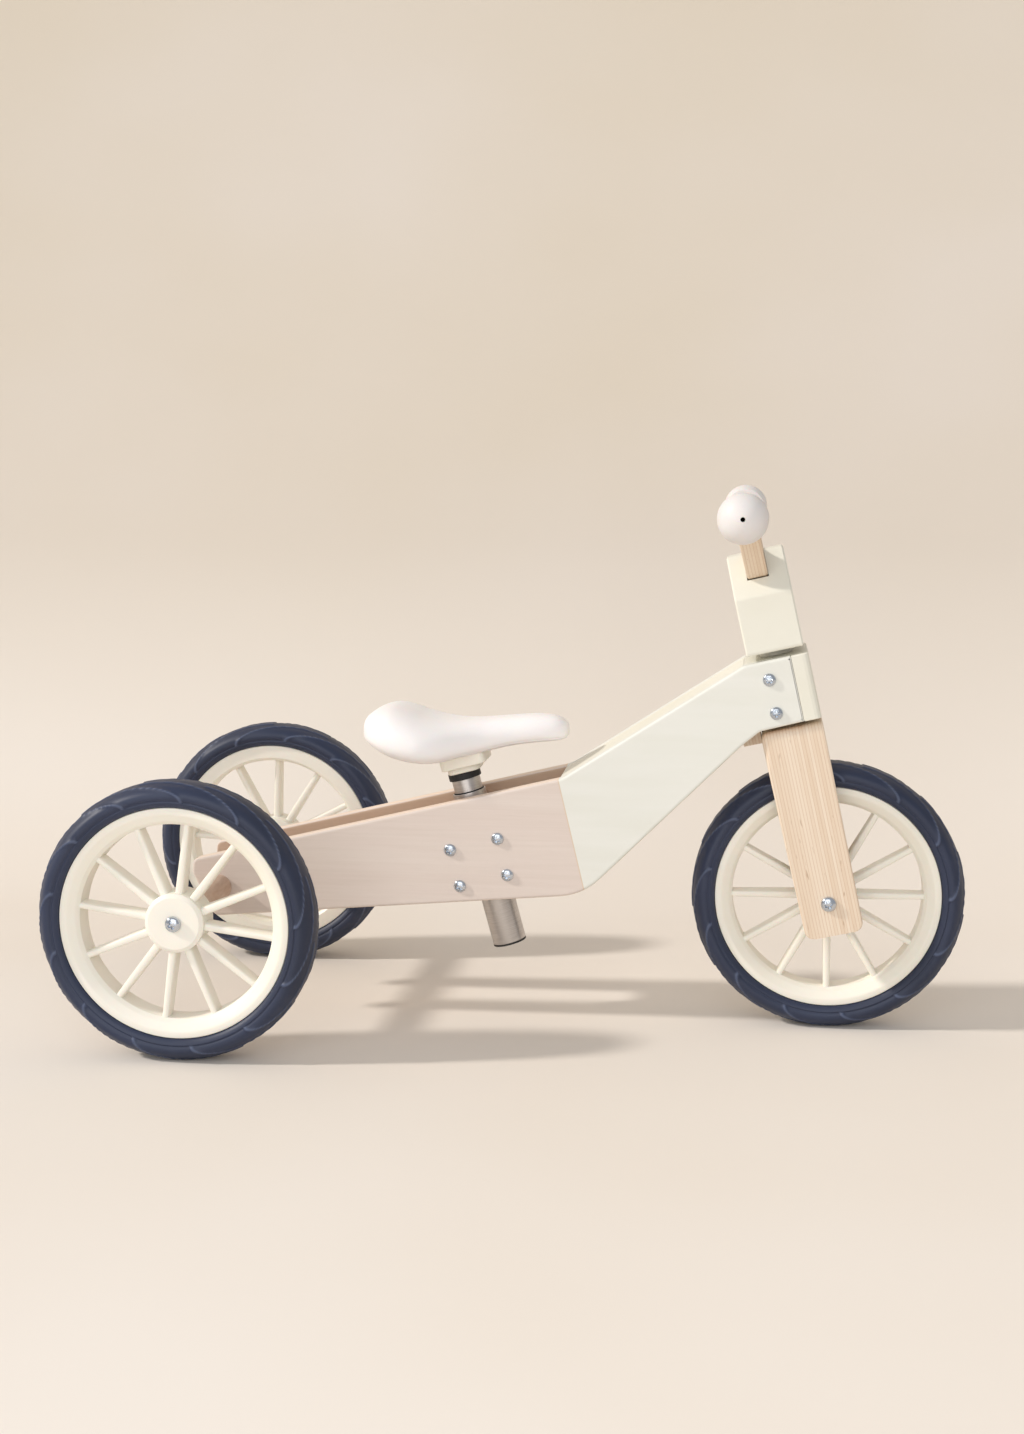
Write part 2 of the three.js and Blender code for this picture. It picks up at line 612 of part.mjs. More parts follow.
// The front wheel turns on a bolt through both fork legs, with a spacer on each side.
function addFrontWheel() {
  const centre = new THREE.Vector3(WHEELBASE / 2, 0, TYRE_RADIUS);
  addWheel('front', centre, -1, THREE.MathUtils.degToRad(29.3));
  const inside = FORK_HALF_GAP - GAP;
  const eye = AXLE_RADIUS + GAP;
  const wall = HUB_WALL - HUB_OUTER;
  const right = turned([
    [eye, -inside], [BEARING_RADIUS, -inside], [BEARING_RADIUS, -HUB_OUTER - 1.5],
    [AXLE_NECK, -HUB_OUTER - 1.5], [AXLE_NECK, wall], [eye, wall],
  ], 16);
  const left = turned([
    [eye, -HUB_INNER], [SPACER_NECK, -HUB_INNER], [SPACER_NECK, 1.5 - HUB_INNER],
    [BEARING_RADIUS, 1.5 - HUB_INNER], [BEARING_RADIUS, inside], [eye, inside],
  ], 16);
  piece(steering, 'front_axle_spacer_left', left, CREAM_PLASTIC);
  piece(steering, 'front_axle_spacer_right', right, CREAM_PLASTIC);
  const bolt = screw(AXLE_RADIUS, AXLE_HEAD_RADIUS, 4.6, 2 * FORK_HALF_WIDTH + 2, 16);
  piece(steering, 'front_axle_bolt', bolt.rotateZ(Math.PI).translate(0, -FORK_HALF_WIDTH, 0),
    ZINC);
  const face = FORK_HALF_WIDTH + GAP;
  const nut = turned([
    [eye, face], [AXLE_HEAD_RADIUS, face], [AXLE_HEAD_RADIUS, face + 1.6],
    [5, face + 4], [0, face + 4.6], [0, face + 2.4], [eye, face + 2.4],
  ], 16);
  piece(steering, 'front_axle_nut', nut, ZINC);
}

// ---- fork, stem and handlebar -------------------------------------------------------------

// The fork's front view crossed with its tapered side view.
function addFork() {
  const front = rounded([
    [-FORK_HALF_WIDTH, FORK_BOTTOM, 2],
    [-FORK_HALF_GAP, FORK_BOTTOM, 2],
    [-FORK_HALF_GAP, FORK_CROWN, 9],
    [FORK_HALF_GAP, FORK_CROWN, 9],
    [FORK_HALF_GAP, FORK_BOTTOM, 2],
    [FORK_HALF_WIDTH, FORK_BOTTOM, 2],
    [FORK_HALF_WIDTH, FORK_TOP, FORK_SHOULDER_ROUND],
    [-FORK_HALF_WIDTH, FORK_TOP, FORK_SHOULDER_ROUND],
  ]);
  const sideView = rounded([
    [-FORK_DEPTH_BOTTOM, FORK_BOTTOM, 8],
    [FORK_DEPTH_BOTTOM, FORK_BOTTOM, 8],
    [FORK_DEPTH_TOP, FORK_TOP, 1.5],
    [-FORK_DEPTH_TOP, FORK_TOP, FORK_SHOULDER_ROUND],
  ]);
  const body = common(
    slabAlong(front, -FORK_DEPTH_TOP - 1, FORK_DEPTH_TOP + 1, 0, 3),
    slabAcross(sideView, -FORK_HALF_WIDTH - 1, FORK_HALF_WIDTH + 1, 0, 3));
  const axle = rod(AXLE_RADIUS + GAP, -FORK_HALF_WIDTH - 1, FORK_HALF_WIDTH + 1, 16);
  const steer = aboutZ(rod(STEER_RADIUS + GAP, FORK_CROWN - 20, FORK_TOP + 1, 16));
  piece(steering, 'fork', cut(body, axle, steer), LAMINATED_WOOD);
  const lug = box([-46, -12, 152.5], [-FORK_DEPTH_TOP - GAP, 12, 164.7]);
  piece(steering, 'steering_stop_lug', lug, LAMINATED_WOOD);
}

function addSteeringBolt() {
  const under = FORK_CROWN - GAP;
  const bolt = turned([
    [0, under - 6], [8, under - 5.5], [10, under - 3.5], [10, under],
    [STEER_RADIUS, under], [STEER_RADIUS, STEER_BOLT_TOP], [0, STEER_BOLT_TOP],
  ], 16, false);
  piece(steering, 'steering_bolt', aboutZ(bolt), ZINC);
  const insert = ring(INSERT_RADIUS, STEER_RADIUS + GAP, STEM_BOTTOM + 0.6, INSERT_TOP, 20);
  piece(steering, 'stem_insert', aboutZ(insert), ZINC);
}

// Two holes along X, side by side above the bottom of the bar.
function stemHoles(radius, from, to, sides) {
  return [-1, 1].map((sign) => aboutX(rod(radius, from, to, sides))
    .translate(0, sign * STEM_SCREW_OUT, STEM_SCREW_UP));
}

function stemScrewHoles() {
  const seatOfHead = STEM_HALF_DEPTH - STEM_SCREW_SUNK;
  return stemHoles(SCREW_RADIUS + GAP, seatOfHead - STEM_SCREW_LENGTH - 1, seatOfHead + 1, 8);
}

function addStem() {
  const outline = rounded([
    [-FORK_HALF_WIDTH, STEM_BOTTOM, 3],
    [FORK_HALF_WIDTH, STEM_BOTTOM, 3],
    [FORK_HALF_WIDTH, STEM_SHOULDER, 5],
    [STEM_TOP_HALF_WIDTH, STEM_TOP, 4],
    [-STEM_TOP_HALF_WIDTH, STEM_TOP, 4],
    [-FORK_HALF_WIDTH, STEM_SHOULDER, 5],
  ]);
  const block = slabAlong(outline, -STEM_HALF_DEPTH, STEM_HALF_DEPTH, 1.5, 3);
  const half = BAR_THICKNESS / 2 + GAP;
  const slot = box(
    [BAR_SETBACK - half, -50, BAR_LOW - GAP], [BAR_SETBACK + half, 50, STEM_TOP + 1]);
  const insert = aboutZ(rod(INSERT_RADIUS + GAP, STEM_BOTTOM - 1, INSERT_TOP + 1, 20));
  const hole = aboutZ(rod(STEER_RADIUS + GAP, STEM_BOTTOM, STEER_BOLT_TOP + 3, 16));
  const seatOfHead = STEM_HALF_DEPTH - STEM_SCREW_SUNK;
  const sinks = stemHoles(SCREW_HEAD_RADIUS + 2 * GAP, seatOfHead, STEM_HALF_DEPTH + 1, 12);
  piece(steering, 'stem_block', cut(block, slot, insert, hole, ...stemScrewHoles(), ...sinks),
    CREAM_PAINT);
  [['right', -1], ['left', 1]].forEach(([side, sign]) => {
    const mesh = piece(steering, `stem_screw_${side}`, frameScrew(STEM_SCREW_LENGTH), ZINC);
    mesh.rotation.z = -Math.PI / 2;
    mesh.position.set(seatOfHead, sign * STEM_SCREW_OUT, STEM_SCREW_UP);
  });
}

// A plank that sits low in the stem, sweeps up on both sides and ends in round tenons.
function addHandlebar() {
  const flat = 24;
  const arm = 94;
  const low = GRIP_HEIGHT - 10.5;
  const high = GRIP_HEIGHT + 10.5;
  const height = 26;
  const shape = new THREE.Shape();
  shape.moveTo(-flat, BAR_LOW);
  shape.lineTo(flat, BAR_LOW);
  shape.bezierCurveTo(56, BAR_LOW, 58, low, arm, low);
  shape.lineTo(arm, high);
  shape.bezierCurveTo(48, high, 44, BAR_LOW + height, flat - 6, BAR_LOW + height);
  shape.lineTo(-flat + 6, BAR_LOW + height);
  shape.bezierCurveTo(-44, BAR_LOW + height, -48, high, -arm, high);
  shape.lineTo(-arm, low);
  shape.bezierCurveTo(-58, low, -56, BAR_LOW, -flat, BAR_LOW);
  const half = BAR_THICKNESS / 2;
  const plank = slabAlong(shape, BAR_SETBACK - half, BAR_SETBACK + half, 1.5, 10);
  const reach = GRIP_BALL_AT + 5;
  const tenon = rod(TENON_RADIUS, -reach, reach, 16).translate(BAR_SETBACK, 0, GRIP_HEIGHT);
  const middle = box([-20, -80, GRIP_HEIGHT - 12], [20, 80, GRIP_HEIGHT + 12]);
  const bar = cut(join(plank, cut(tenon, middle)), ...stemScrewHoles());
  piece(steering, 'handlebar', bar, LAMINATED_WOOD);
}

// A soft grip with a flange inside and a ball at the end, vented by a small hole.
function addGrip(side, sign) {
  const bore = TENON_RADIUS + GAP;
  const ball = [-44, -22, 0, 22, 44, 66].map((degrees) => {
    const angle = THREE.MathUtils.degToRad(degrees);
    return [GRIP_BALL_RADIUS * Math.cos(angle), GRIP_BALL_AT + GRIP_BALL_RADIUS * Math.sin(angle)];
  });
  const start = GRIP_START + 5;
  const grip = turned([
    [bore, start], [18, start], [19, start + 1.5], [19, start + 4], [15, start + 7],
    ...ball, [2, GRIP_BALL_AT + GRIP_BALL_RADIUS], [2, GRIP_BALL_AT + 8],
    [bore, GRIP_BALL_AT + 6],
  ], 20);
  grip.rotateZ(sign > 0 ? 0 : Math.PI).translate(BAR_SETBACK, 0, GRIP_HEIGHT);
  piece(steering, `grip_${side}`, grip, WHITE_RUBBER);
}

// ---- assembly -----------------------------------------------------------------------------

addPanels();
addCore();
addHeadBlock();
addHeadBushes();
addAxleBeam();
addSeatBlock();
addSeatTube();
addPost();
addSaddle();
addRearWheel('right', -1, THREE.MathUtils.degToRad(8));
addRearWheel('left', 1, THREE.MathUtils.degToRad(27.5));
addFrontWheel();
addFork();
addSteeringBolt();
addStem();
addHandlebar();
addGrip('right', -1);
addGrip('left', 1);

export default bike;
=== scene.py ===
"""A child's wooden balance bike in trike layout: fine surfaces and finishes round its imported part.

Every class holds its sizes in millimetres. Shapes are worked out in the three frames that the
bike is drawn in (bike, steering and seat), and are written to their meshes in metres.
"""
import json
import logging
import math
from collections.abc import Callable
from dataclasses import dataclass
from enum import Enum

import bmesh
import bpy
import numpy as np
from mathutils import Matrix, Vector


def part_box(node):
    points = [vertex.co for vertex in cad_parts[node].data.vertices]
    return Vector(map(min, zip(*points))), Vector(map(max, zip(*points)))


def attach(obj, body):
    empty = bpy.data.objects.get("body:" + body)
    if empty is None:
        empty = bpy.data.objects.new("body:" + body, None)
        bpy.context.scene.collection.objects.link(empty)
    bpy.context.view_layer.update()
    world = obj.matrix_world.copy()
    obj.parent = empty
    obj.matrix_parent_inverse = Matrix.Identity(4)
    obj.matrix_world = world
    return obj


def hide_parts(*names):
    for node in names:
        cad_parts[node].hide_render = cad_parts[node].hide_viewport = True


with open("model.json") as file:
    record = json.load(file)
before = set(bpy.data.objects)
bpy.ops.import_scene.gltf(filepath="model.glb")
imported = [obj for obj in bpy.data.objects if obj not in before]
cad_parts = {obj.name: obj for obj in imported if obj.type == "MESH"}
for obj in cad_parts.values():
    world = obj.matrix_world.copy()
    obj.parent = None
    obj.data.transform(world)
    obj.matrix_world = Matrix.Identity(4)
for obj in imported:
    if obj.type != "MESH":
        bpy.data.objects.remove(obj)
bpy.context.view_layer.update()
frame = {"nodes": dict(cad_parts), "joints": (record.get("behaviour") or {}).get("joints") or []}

MM = 0.001
SKIN = 0.8          # mm of flat face kept beside a rounded edge, so that flats shade flat
RING_EASE = 0.5     # mm, the largest round on a tube's rims
LOG = logging.getLogger("bike")
Grid = tuple[np.ndarray, list[list[int]], np.ndarray]
Lift = Callable[[np.ndarray, float | np.ndarray], np.ndarray]


class Slot(Enum):
    """The record's material slots, passed with each piece beside its finish."""

    WASHED_WOOD = "washed_wood"
    LAMINATED_WOOD = "laminated_wood"
    CREAM_PLASTIC = "cream_plastic"
    FOAM_TYRE = "foam_tyre"
    WHITE_RUBBER = "white_rubber"
    BLACK_RUBBER = "black_rubber"
    ZINC = "zinc"
    POST_METAL = "post_metal"


# ---- frames -------------------------------------------------------------------------------


@dataclass(frozen=True)
class Axes:
    """A right-handed frame in the bike: its origin, and its x, y and z directions."""

    origin: np.ndarray
    x: np.ndarray
    y: np.ndarray
    z: np.ndarray

    def place(self, points: np.ndarray) -> np.ndarray:
        """Carries points of this frame into the bike's frame.

        Args:
            points: an array whose last axis holds x, y and z in millimetres.

        Returns:
            The same points in the bike's frame, in millimetres.
        """
        return self.origin + points @ np.stack([self.x, self.y, self.z])


def unit(vector: np.ndarray) -> np.ndarray:
    """Returns the vector at length 1."""
    return vector / np.linalg.norm(vector)


def middle_of(node: str) -> np.ndarray:
    """Returns the middle of a CAD node's box, in millimetres."""
    low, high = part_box(node)
    return (np.array(low) + np.array(high)) / (2 * MM)


def joint(name: str) -> dict:
    """Returns the joint of that name from the frame."""
    return next(j for j in frame["joints"] if j["name"] == name)


def upright(origin: np.ndarray, z: np.ndarray) -> Axes:
    """Returns the frame at origin whose z is as given and whose y points to the rider's left."""
    z = unit(np.asarray(z, float))
    y = np.array([0.0, 1.0, 0.0])
    return Axes(np.asarray(origin, float), np.cross(y, z), y, z)


def sideways(origin: np.ndarray, facing: int) -> Axes:
    """Returns the frame at origin whose z points to the left (facing 1) or right (facing -1)."""
    return Axes(
        np.asarray(origin, float),
        np.array([1.0, 0.0, 0.0]),
        np.array([0.0, 0.0, -1.0 * facing]),
        np.array([0.0, 1.0 * facing, 0.0]),
    )


SLEEVE_MIDDLE = 76.4  # mm up the seat tube, from its foot
BIKE = upright(np.zeros(3), np.array([0.0, 0.0, 1.0]))
STEERING = upright(np.array(joint("steer")["pos_m"]) / MM, joint("steer")["axis"])
SEAT = upright(
    middle_of("seat_sleeve") - SLEEVE_MIDDLE * unit(np.array(joint("seat_height")["axis"])),
    joint("seat_height")["axis"],
)


# ---- surfaces -----------------------------------------------------------------------------


def eased(corners: np.ndarray, radii: float | np.ndarray, steps: int = 4) -> np.ndarray:
    """Rounds the corners of a closed outline.

    Each corner becomes a parabola from the point `reach` before it to the point `reach` after
    it, where reach is the radius over the tangent of half the corner's angle.

    Args:
        corners: an (n, 2) closed outline.
        radii: one radius, or one for each corner; 0 keeps a corner sharp.
        steps: the number of pieces in each round.

    Returns:
        An (m, 2) closed outline without repeated points.
    """
    corners = np.asarray(corners, float)
    back = np.roll(corners, 1, axis=0) - corners
    ahead = np.roll(corners, -1, axis=0) - corners
    back_length = np.linalg.norm(back, axis=1, keepdims=True)
    ahead_length = np.linalg.norm(ahead, axis=1, keepdims=True)
    cosine = np.sum(back * ahead, axis=1, keepdims=True) / (back_length * ahead_length)
    half = np.arccos(np.clip(cosine, -1, 1)) / 2
    reach = np.broadcast_to(np.asarray(radii, float).reshape(-1, 1), half.shape) / np.tan(half)
    reach = np.minimum(reach, 0.49 * np.minimum(back_length, ahead_length))
    start = corners + back / back_length * reach
    end = corners + ahead / ahead_length * reach
    t = np.linspace(0, 1, steps + 1).reshape(1, -1, 1)
    curve = (1 - t) ** 2 * start[:, None] + t**2 * end[:, None]
    curve = curve + 2 * t * (1 - t) * corners[:, None]
    points = curve.reshape(-1, 2)
    keep = np.linalg.norm(points - np.roll(points, 1, axis=0), axis=1) > 1e-6
    return points[keep]


def resampled(outline: np.ndarray, spacing: float) -> np.ndarray:
    """Adds points to a closed outline so that no side is much longer than the spacing.

    Args:
        outline: an (n, 2) closed outline.
        spacing: the longest side wanted.

    Returns:
        An (m, 2) closed outline that keeps every given point.
    """
    ends = np.roll(outline, -1, axis=0)
    parts = np.maximum(1, np.ceil(np.linalg.norm(ends - outline, axis=1) / spacing)).astype(int)
    start = np.repeat(outline, parts, axis=0)
    side = np.repeat(ends - outline, parts, axis=0)
    step = np.arange(len(start)) - np.repeat(np.cumsum(parts) - parts, parts)
    return start + side * (step / np.repeat(parts, parts))[:, None]


def spline(values: np.ndarray, at: np.ndarray) -> np.ndarray:
    """Reads a smooth curve through values that stand one unit apart.

    The curve is the Catmull-Rom cubic: between two values, its slope at each is half the
    difference of that value's neighbours.

    Args:
        values: an (n, k) array of k lanes.
        at: where to read, from 0 to n - 1.

    Returns:
        An array of len(at) rows and k lanes.
    """
    padded = np.vstack([2 * values[0] - values[1], values, 2 * values[-1] - values[-2]])
    i = np.clip(np.floor(at).astype(int), 0, len(values) - 2)
    t = (at - i)[:, None]
    a, b, c, d = (padded[i + k] for k in range(4))
    return 0.5 * (
        2 * b + (c - a) * t + (2 * a - 5 * b + 4 * c - d) * t**2 + (3 * b - a - 3 * c + d) * t**3
    )


def bezier(points: list[list[float]], count: int) -> np.ndarray:
    """Returns count points along the cubic Bezier curve of four (x, y) points."""
    t = np.linspace(0, 1, count)[:, None]
    a, b, c, d = np.asarray(points, float)
    return (1 - t) ** 3 * a + 3 * t * (1 - t) ** 2 * b + 3 * t**2 * (1 - t) * c + t**3 * d


def sheet_of(points: np.ndarray, loop_rows: bool = False, edge: np.ndarray | None = None) -> Grid:
    """Joins a grid of points into quads, closed along its columns.

    Args:
        points: a (rows, columns, 3) array; the last column joins the first.
        loop_rows: whether the last row joins the first. If not, both end rows are capped.
        edge: how far each row lies on a rounded edge, from 0 to 1.

    Returns:
        The points as a list, the faces, and the edge value of each point.
    """
    rows, columns, _ = points.shape
    index = np.arange(rows * columns).reshape(rows, columns)
    wide = np.hstack([index, index[:, :1]])
    if loop_rows:
        wide = np.vstack([wide, wide[:1]])
    quads = np.stack([wide[:-1, :-1], wide[:-1, 1:], wide[1:, 1:], wide[1:, :-1]], -1)
    faces = quads.reshape(-1, 4).tolist()
    if not loop_rows:
        faces += [index[0, ::-1].tolist(), index[-1].tolist()]
    rows_edge = np.zeros(rows) if edge is None else edge
    return points.reshape(-1, 3), faces, np.repeat(rows_edge, columns)


def turned(profile: np.ndarray, axes: Axes, sides: int = 96, loop: bool = True) -> Grid:
    """Turns a (radius, height) profile about a frame's z axis.

    A point of the profile goes to radius times (cos, sin) of the angle, at its height.

    Args:
        profile: an (n, 2) array of radius and height.
        axes: the frame to turn in.
        sides: steps round the axis.
        loop: whether the profile closes on itself. If not, it starts and ends on the axis.

    Returns:
        The surface's points, faces and edge values.
    """
    angle = np.linspace(0, 2 * np.pi, sides, endpoint=False)
    radius, height = profile[:, :1], profile[:, 1:]
    points = np.stack([radius * np.cos(angle), radius * np.sin(angle), height + 0 * angle], -1)
    return sheet_of(axes.place(points), loop)


def ring(outer: float, inner: float, low: float, high: float, axes: Axes) -> Grid:
    """Returns a tube or washer with eased rims, from low to high along the frame's z."""
    corners = np.array([[inner, low], [outer, low], [outer, high], [inner, high]])
    return turned(eased(corners, min(RING_EASE, (outer - inner) * 0.4)), axes)


def inset(outline: np.ndarray, distance: float | np.ndarray) -> np.ndarray:
    """Moves an anticlockwise outline inwards, each point along the mean normal of its sides."""
    side = unit_rows(np.roll(outline, -1, axis=0) - outline)
    before = np.roll(side, 1, axis=0)
    normal = np.stack([-(side + before)[:, 1], (side + before)[:, 0]], -1)
    scale = 2 / np.maximum(np.sum(normal * normal, axis=1, keepdims=True), 0.5)
    return outline + normal * scale * distance


def unit_rows(vectors: np.ndarray) -> np.ndarray:
    """Returns each row at length 1."""
    return vectors / np.linalg.norm(vectors, axis=1, keepdims=True)


def slab(outline: np.ndarray, low: float, high: float, ease: float | np.ndarray,
         lift: Lift) -> Grid:
    """Gives a flat outline thickness, with quarter-round edges.

    Row by row from the low face to the high one, the outline is drawn in by
    ease * (1 - sin a) at ease * (1 - cos a) from the face, for a from 0 to a right angle.

    Args:
        outline: an (n, 2) outline of either turn.
        low: the low face.
        high: the high face.
        ease: the radius of the edges, or one for each point of the outline.
        lift: turns (n, 2) outline points and their height into (n, 3) points of the bike.

    Returns:
        The surface's points, faces and edge values.
    """
    x, y = outline.T
    ease = np.broadcast_to(np.asarray(ease, float), len(outline))
    if np.sum(x * np.roll(y, -1) - y * np.roll(x, -1)) < 0:
        outline, ease = outline[::-1], ease[::-1]
    a = np.linspace(0, np.pi / 2, 6)
    drawn = np.vstack([ease + SKIN, np.outer(1 - np.sin(a), ease)])
    up = np.vstack([0 * ease, np.outer(1 - np.cos(a), ease)])
    edge = np.concatenate([[0], np.sin(a)])
    rings = [lift(inset(outline, d[:, None]), low + u) for d, u in zip(drawn, up)]
    rings += [lift(inset(outline, d[:, None]), high - u) for d, u in zip(drawn[::-1], up[::-1])]
    return sheet_of(np.stack(rings), edge=np.concatenate([edge, edge[::-1]]))


def across(axes: Axes) -> Lift:
    """Returns the lift for an (x, z) outline of a frame that is thick along y."""
    return lambda flat, y: axes.place(np.insert(flat, 1, y, axis=1))


def upward(axes: Axes) -> Lift:
    """Returns the lift for an (x, y) outline of a frame that is thick along z."""
    return lambda flat, z: axes.place(np.insert(flat, 2, z, axis=1))


def section(steps: int = 6) -> tuple[np.ndarray, np.ndarray, np.ndarray]:
    """The loop of a rounded rectangle, with a strip of flat face kept beside each corner.

    Args:
        steps: pieces in each corner.

    Returns:
        Each point's corner signs, its direction from the corner's centre, and its shift along
        the flat in millimetres, all (m, 2).
    """
    angle = np.linspace(0, np.pi / 2, steps + 1)
    corner = np.stack([np.cos(angle), np.sin(angle)], -1)
    corner = np.vstack([[1, 0], corner, [0, 1]])
    shift = 0 * corner
    shift[0], shift[-1] = [0, -SKIN], [-SKIN, 0]
    quarter = np.array([[0, 1], [-1, 0]])
    turns = [np.linalg.matrix_power(quarter, k) for k in range(4)]
    signs = np.vstack([np.tile(np.array([1, 1]) @ turn, (len(corner), 1)) for turn in turns])
    return signs, np.vstack([corner @ t for t in turns]), np.vstack([shift @ t for t in turns])


def plank(inner: np.ndarray, outer: np.ndarray, depth: np.ndarray, axes: Axes, ease: float,
          setback: float = 0.0, back_ease: np.ndarray | None = None) -> Grid:
    """Carries a rounded rectangle along a bent board.

    At each station the section spans from the inner to the outer edge of the board's (y, z)
    outline, and from -depth to +depth along x.

    Args:
        inner: (n, 2) points along one edge of the board.
        outer: (n, 2) points along the other.
        depth: the board's half depth at each station.
        axes: the frame that the board lies in.
        ease: the radius of its long edges.
        setback: the x of its middle plane.
        back_ease: the radius of the outer edge at the back at each station, if it differs.

    Returns:
        The surface's points, faces and edge values.
    """
    signs, corner, shift = section()
    half = (outer - inner) / 2
    length = np.linalg.norm(half, axis=1, keepdims=True)
    radius = np.full((len(inner), len(signs)), ease)
    if back_ease is not None:
        radius = np.where((signs[:, 0] > 0) & (signs[:, 1] < 0), back_ease[:, None], radius)
    reach = signs[:, 0] * (length - radius) + radius * corner[:, 0] + shift[:, 0]
    x = signs[:, 1] * (depth[:, None] - radius) + radius * corner[:, 1] + shift[:, 1] + setback
    flat = ((inner + outer) / 2)[:, None] + (half / length)[:, None] * reach[..., None]
    return sheet_of(axes.place(np.dstack([x, flat])))


# ---- pieces -------------------------------------------------------------------------------


def make_piece(name: str, grids: list[Grid], sharp: float = 40.0) -> bpy.types.Object:
    """Writes one or more closed surfaces to one mesh, faces outwards.

    Args:
        name: the piece's name.
        grids: surfaces in millimetres.
        sharp: the angle in degrees past which an edge shades sharp.

    Returns:
        The new object, at the origin, with its place in its mesh.
    """
    starts = np.cumsum([0] + [len(points) for points, _, _ in grids])
    faces = [[v + int(s) for v in f] for s, (_, fs, _) in zip(starts, grids) for f in fs]
    points = np.vstack([p for p, _, _ in grids]) * MM
    mesh = bpy.data.meshes.new(name)
    mesh.from_pydata(points, [], faces)
    edge = np.concatenate([e for _, _, e in grids]).astype(np.float32)
    mesh.attributes.new("edge", "FLOAT", "POINT").data.foreach_set("value", edge)
    shell = bmesh.new()
    shell.from_mesh(mesh)
    bmesh.ops.remove_doubles(shell, verts=shell.verts, dist=2e-6)
    bmesh.ops.recalc_face_normals(shell, faces=shell.faces)
    shell.to_mesh(mesh)
    shell.free()
    mesh.polygons.foreach_set("use_smooth", np.ones(len(mesh.polygons), bool))
    mesh.set_sharp_from_angle(angle=math.radians(sharp))
    piece = bpy.data.objects.new(name, mesh)
    bpy.context.scene.collection.objects.link(piece)
    return piece


def dress(piece: bpy.types.Object, body: str, slot: Slot, finish: "Finish",
          *nodes: str) -> bpy.types.Object:
    """Gives a new piece its finish and body, and hides the CAD nodes it stands for.

    Args:
        piece: the new piece.
        body: the CAD body that it rides on.
        slot: the record's material slot; not used.
        finish: what it is covered in.
        nodes: the CAD nodes that it replaces.

    Returns:
        The piece.
    """
    piece.data.materials.append(finish.material())
    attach(piece, body)
    if nodes:
        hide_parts(*nodes)
    LOG.info("%s: %d faces", piece.name, len(piece.data.polygons))
    return piece


# ---- finishes -----------------------------------------------------------------------------


def linear(colour: str) -> tuple[float, float, float, float]:
    """Turns a hex colour such as '#ebe7dd' into linear red, green, blue and alpha."""
    parts = [int(colour[i:i + 2], 16) / 255 for i in (1, 3, 5)]
    return (*[c / 12.92 if c <= 0.04045 else ((c + 0.055) / 1.055) ** 2.4 for c in parts], 1.0)


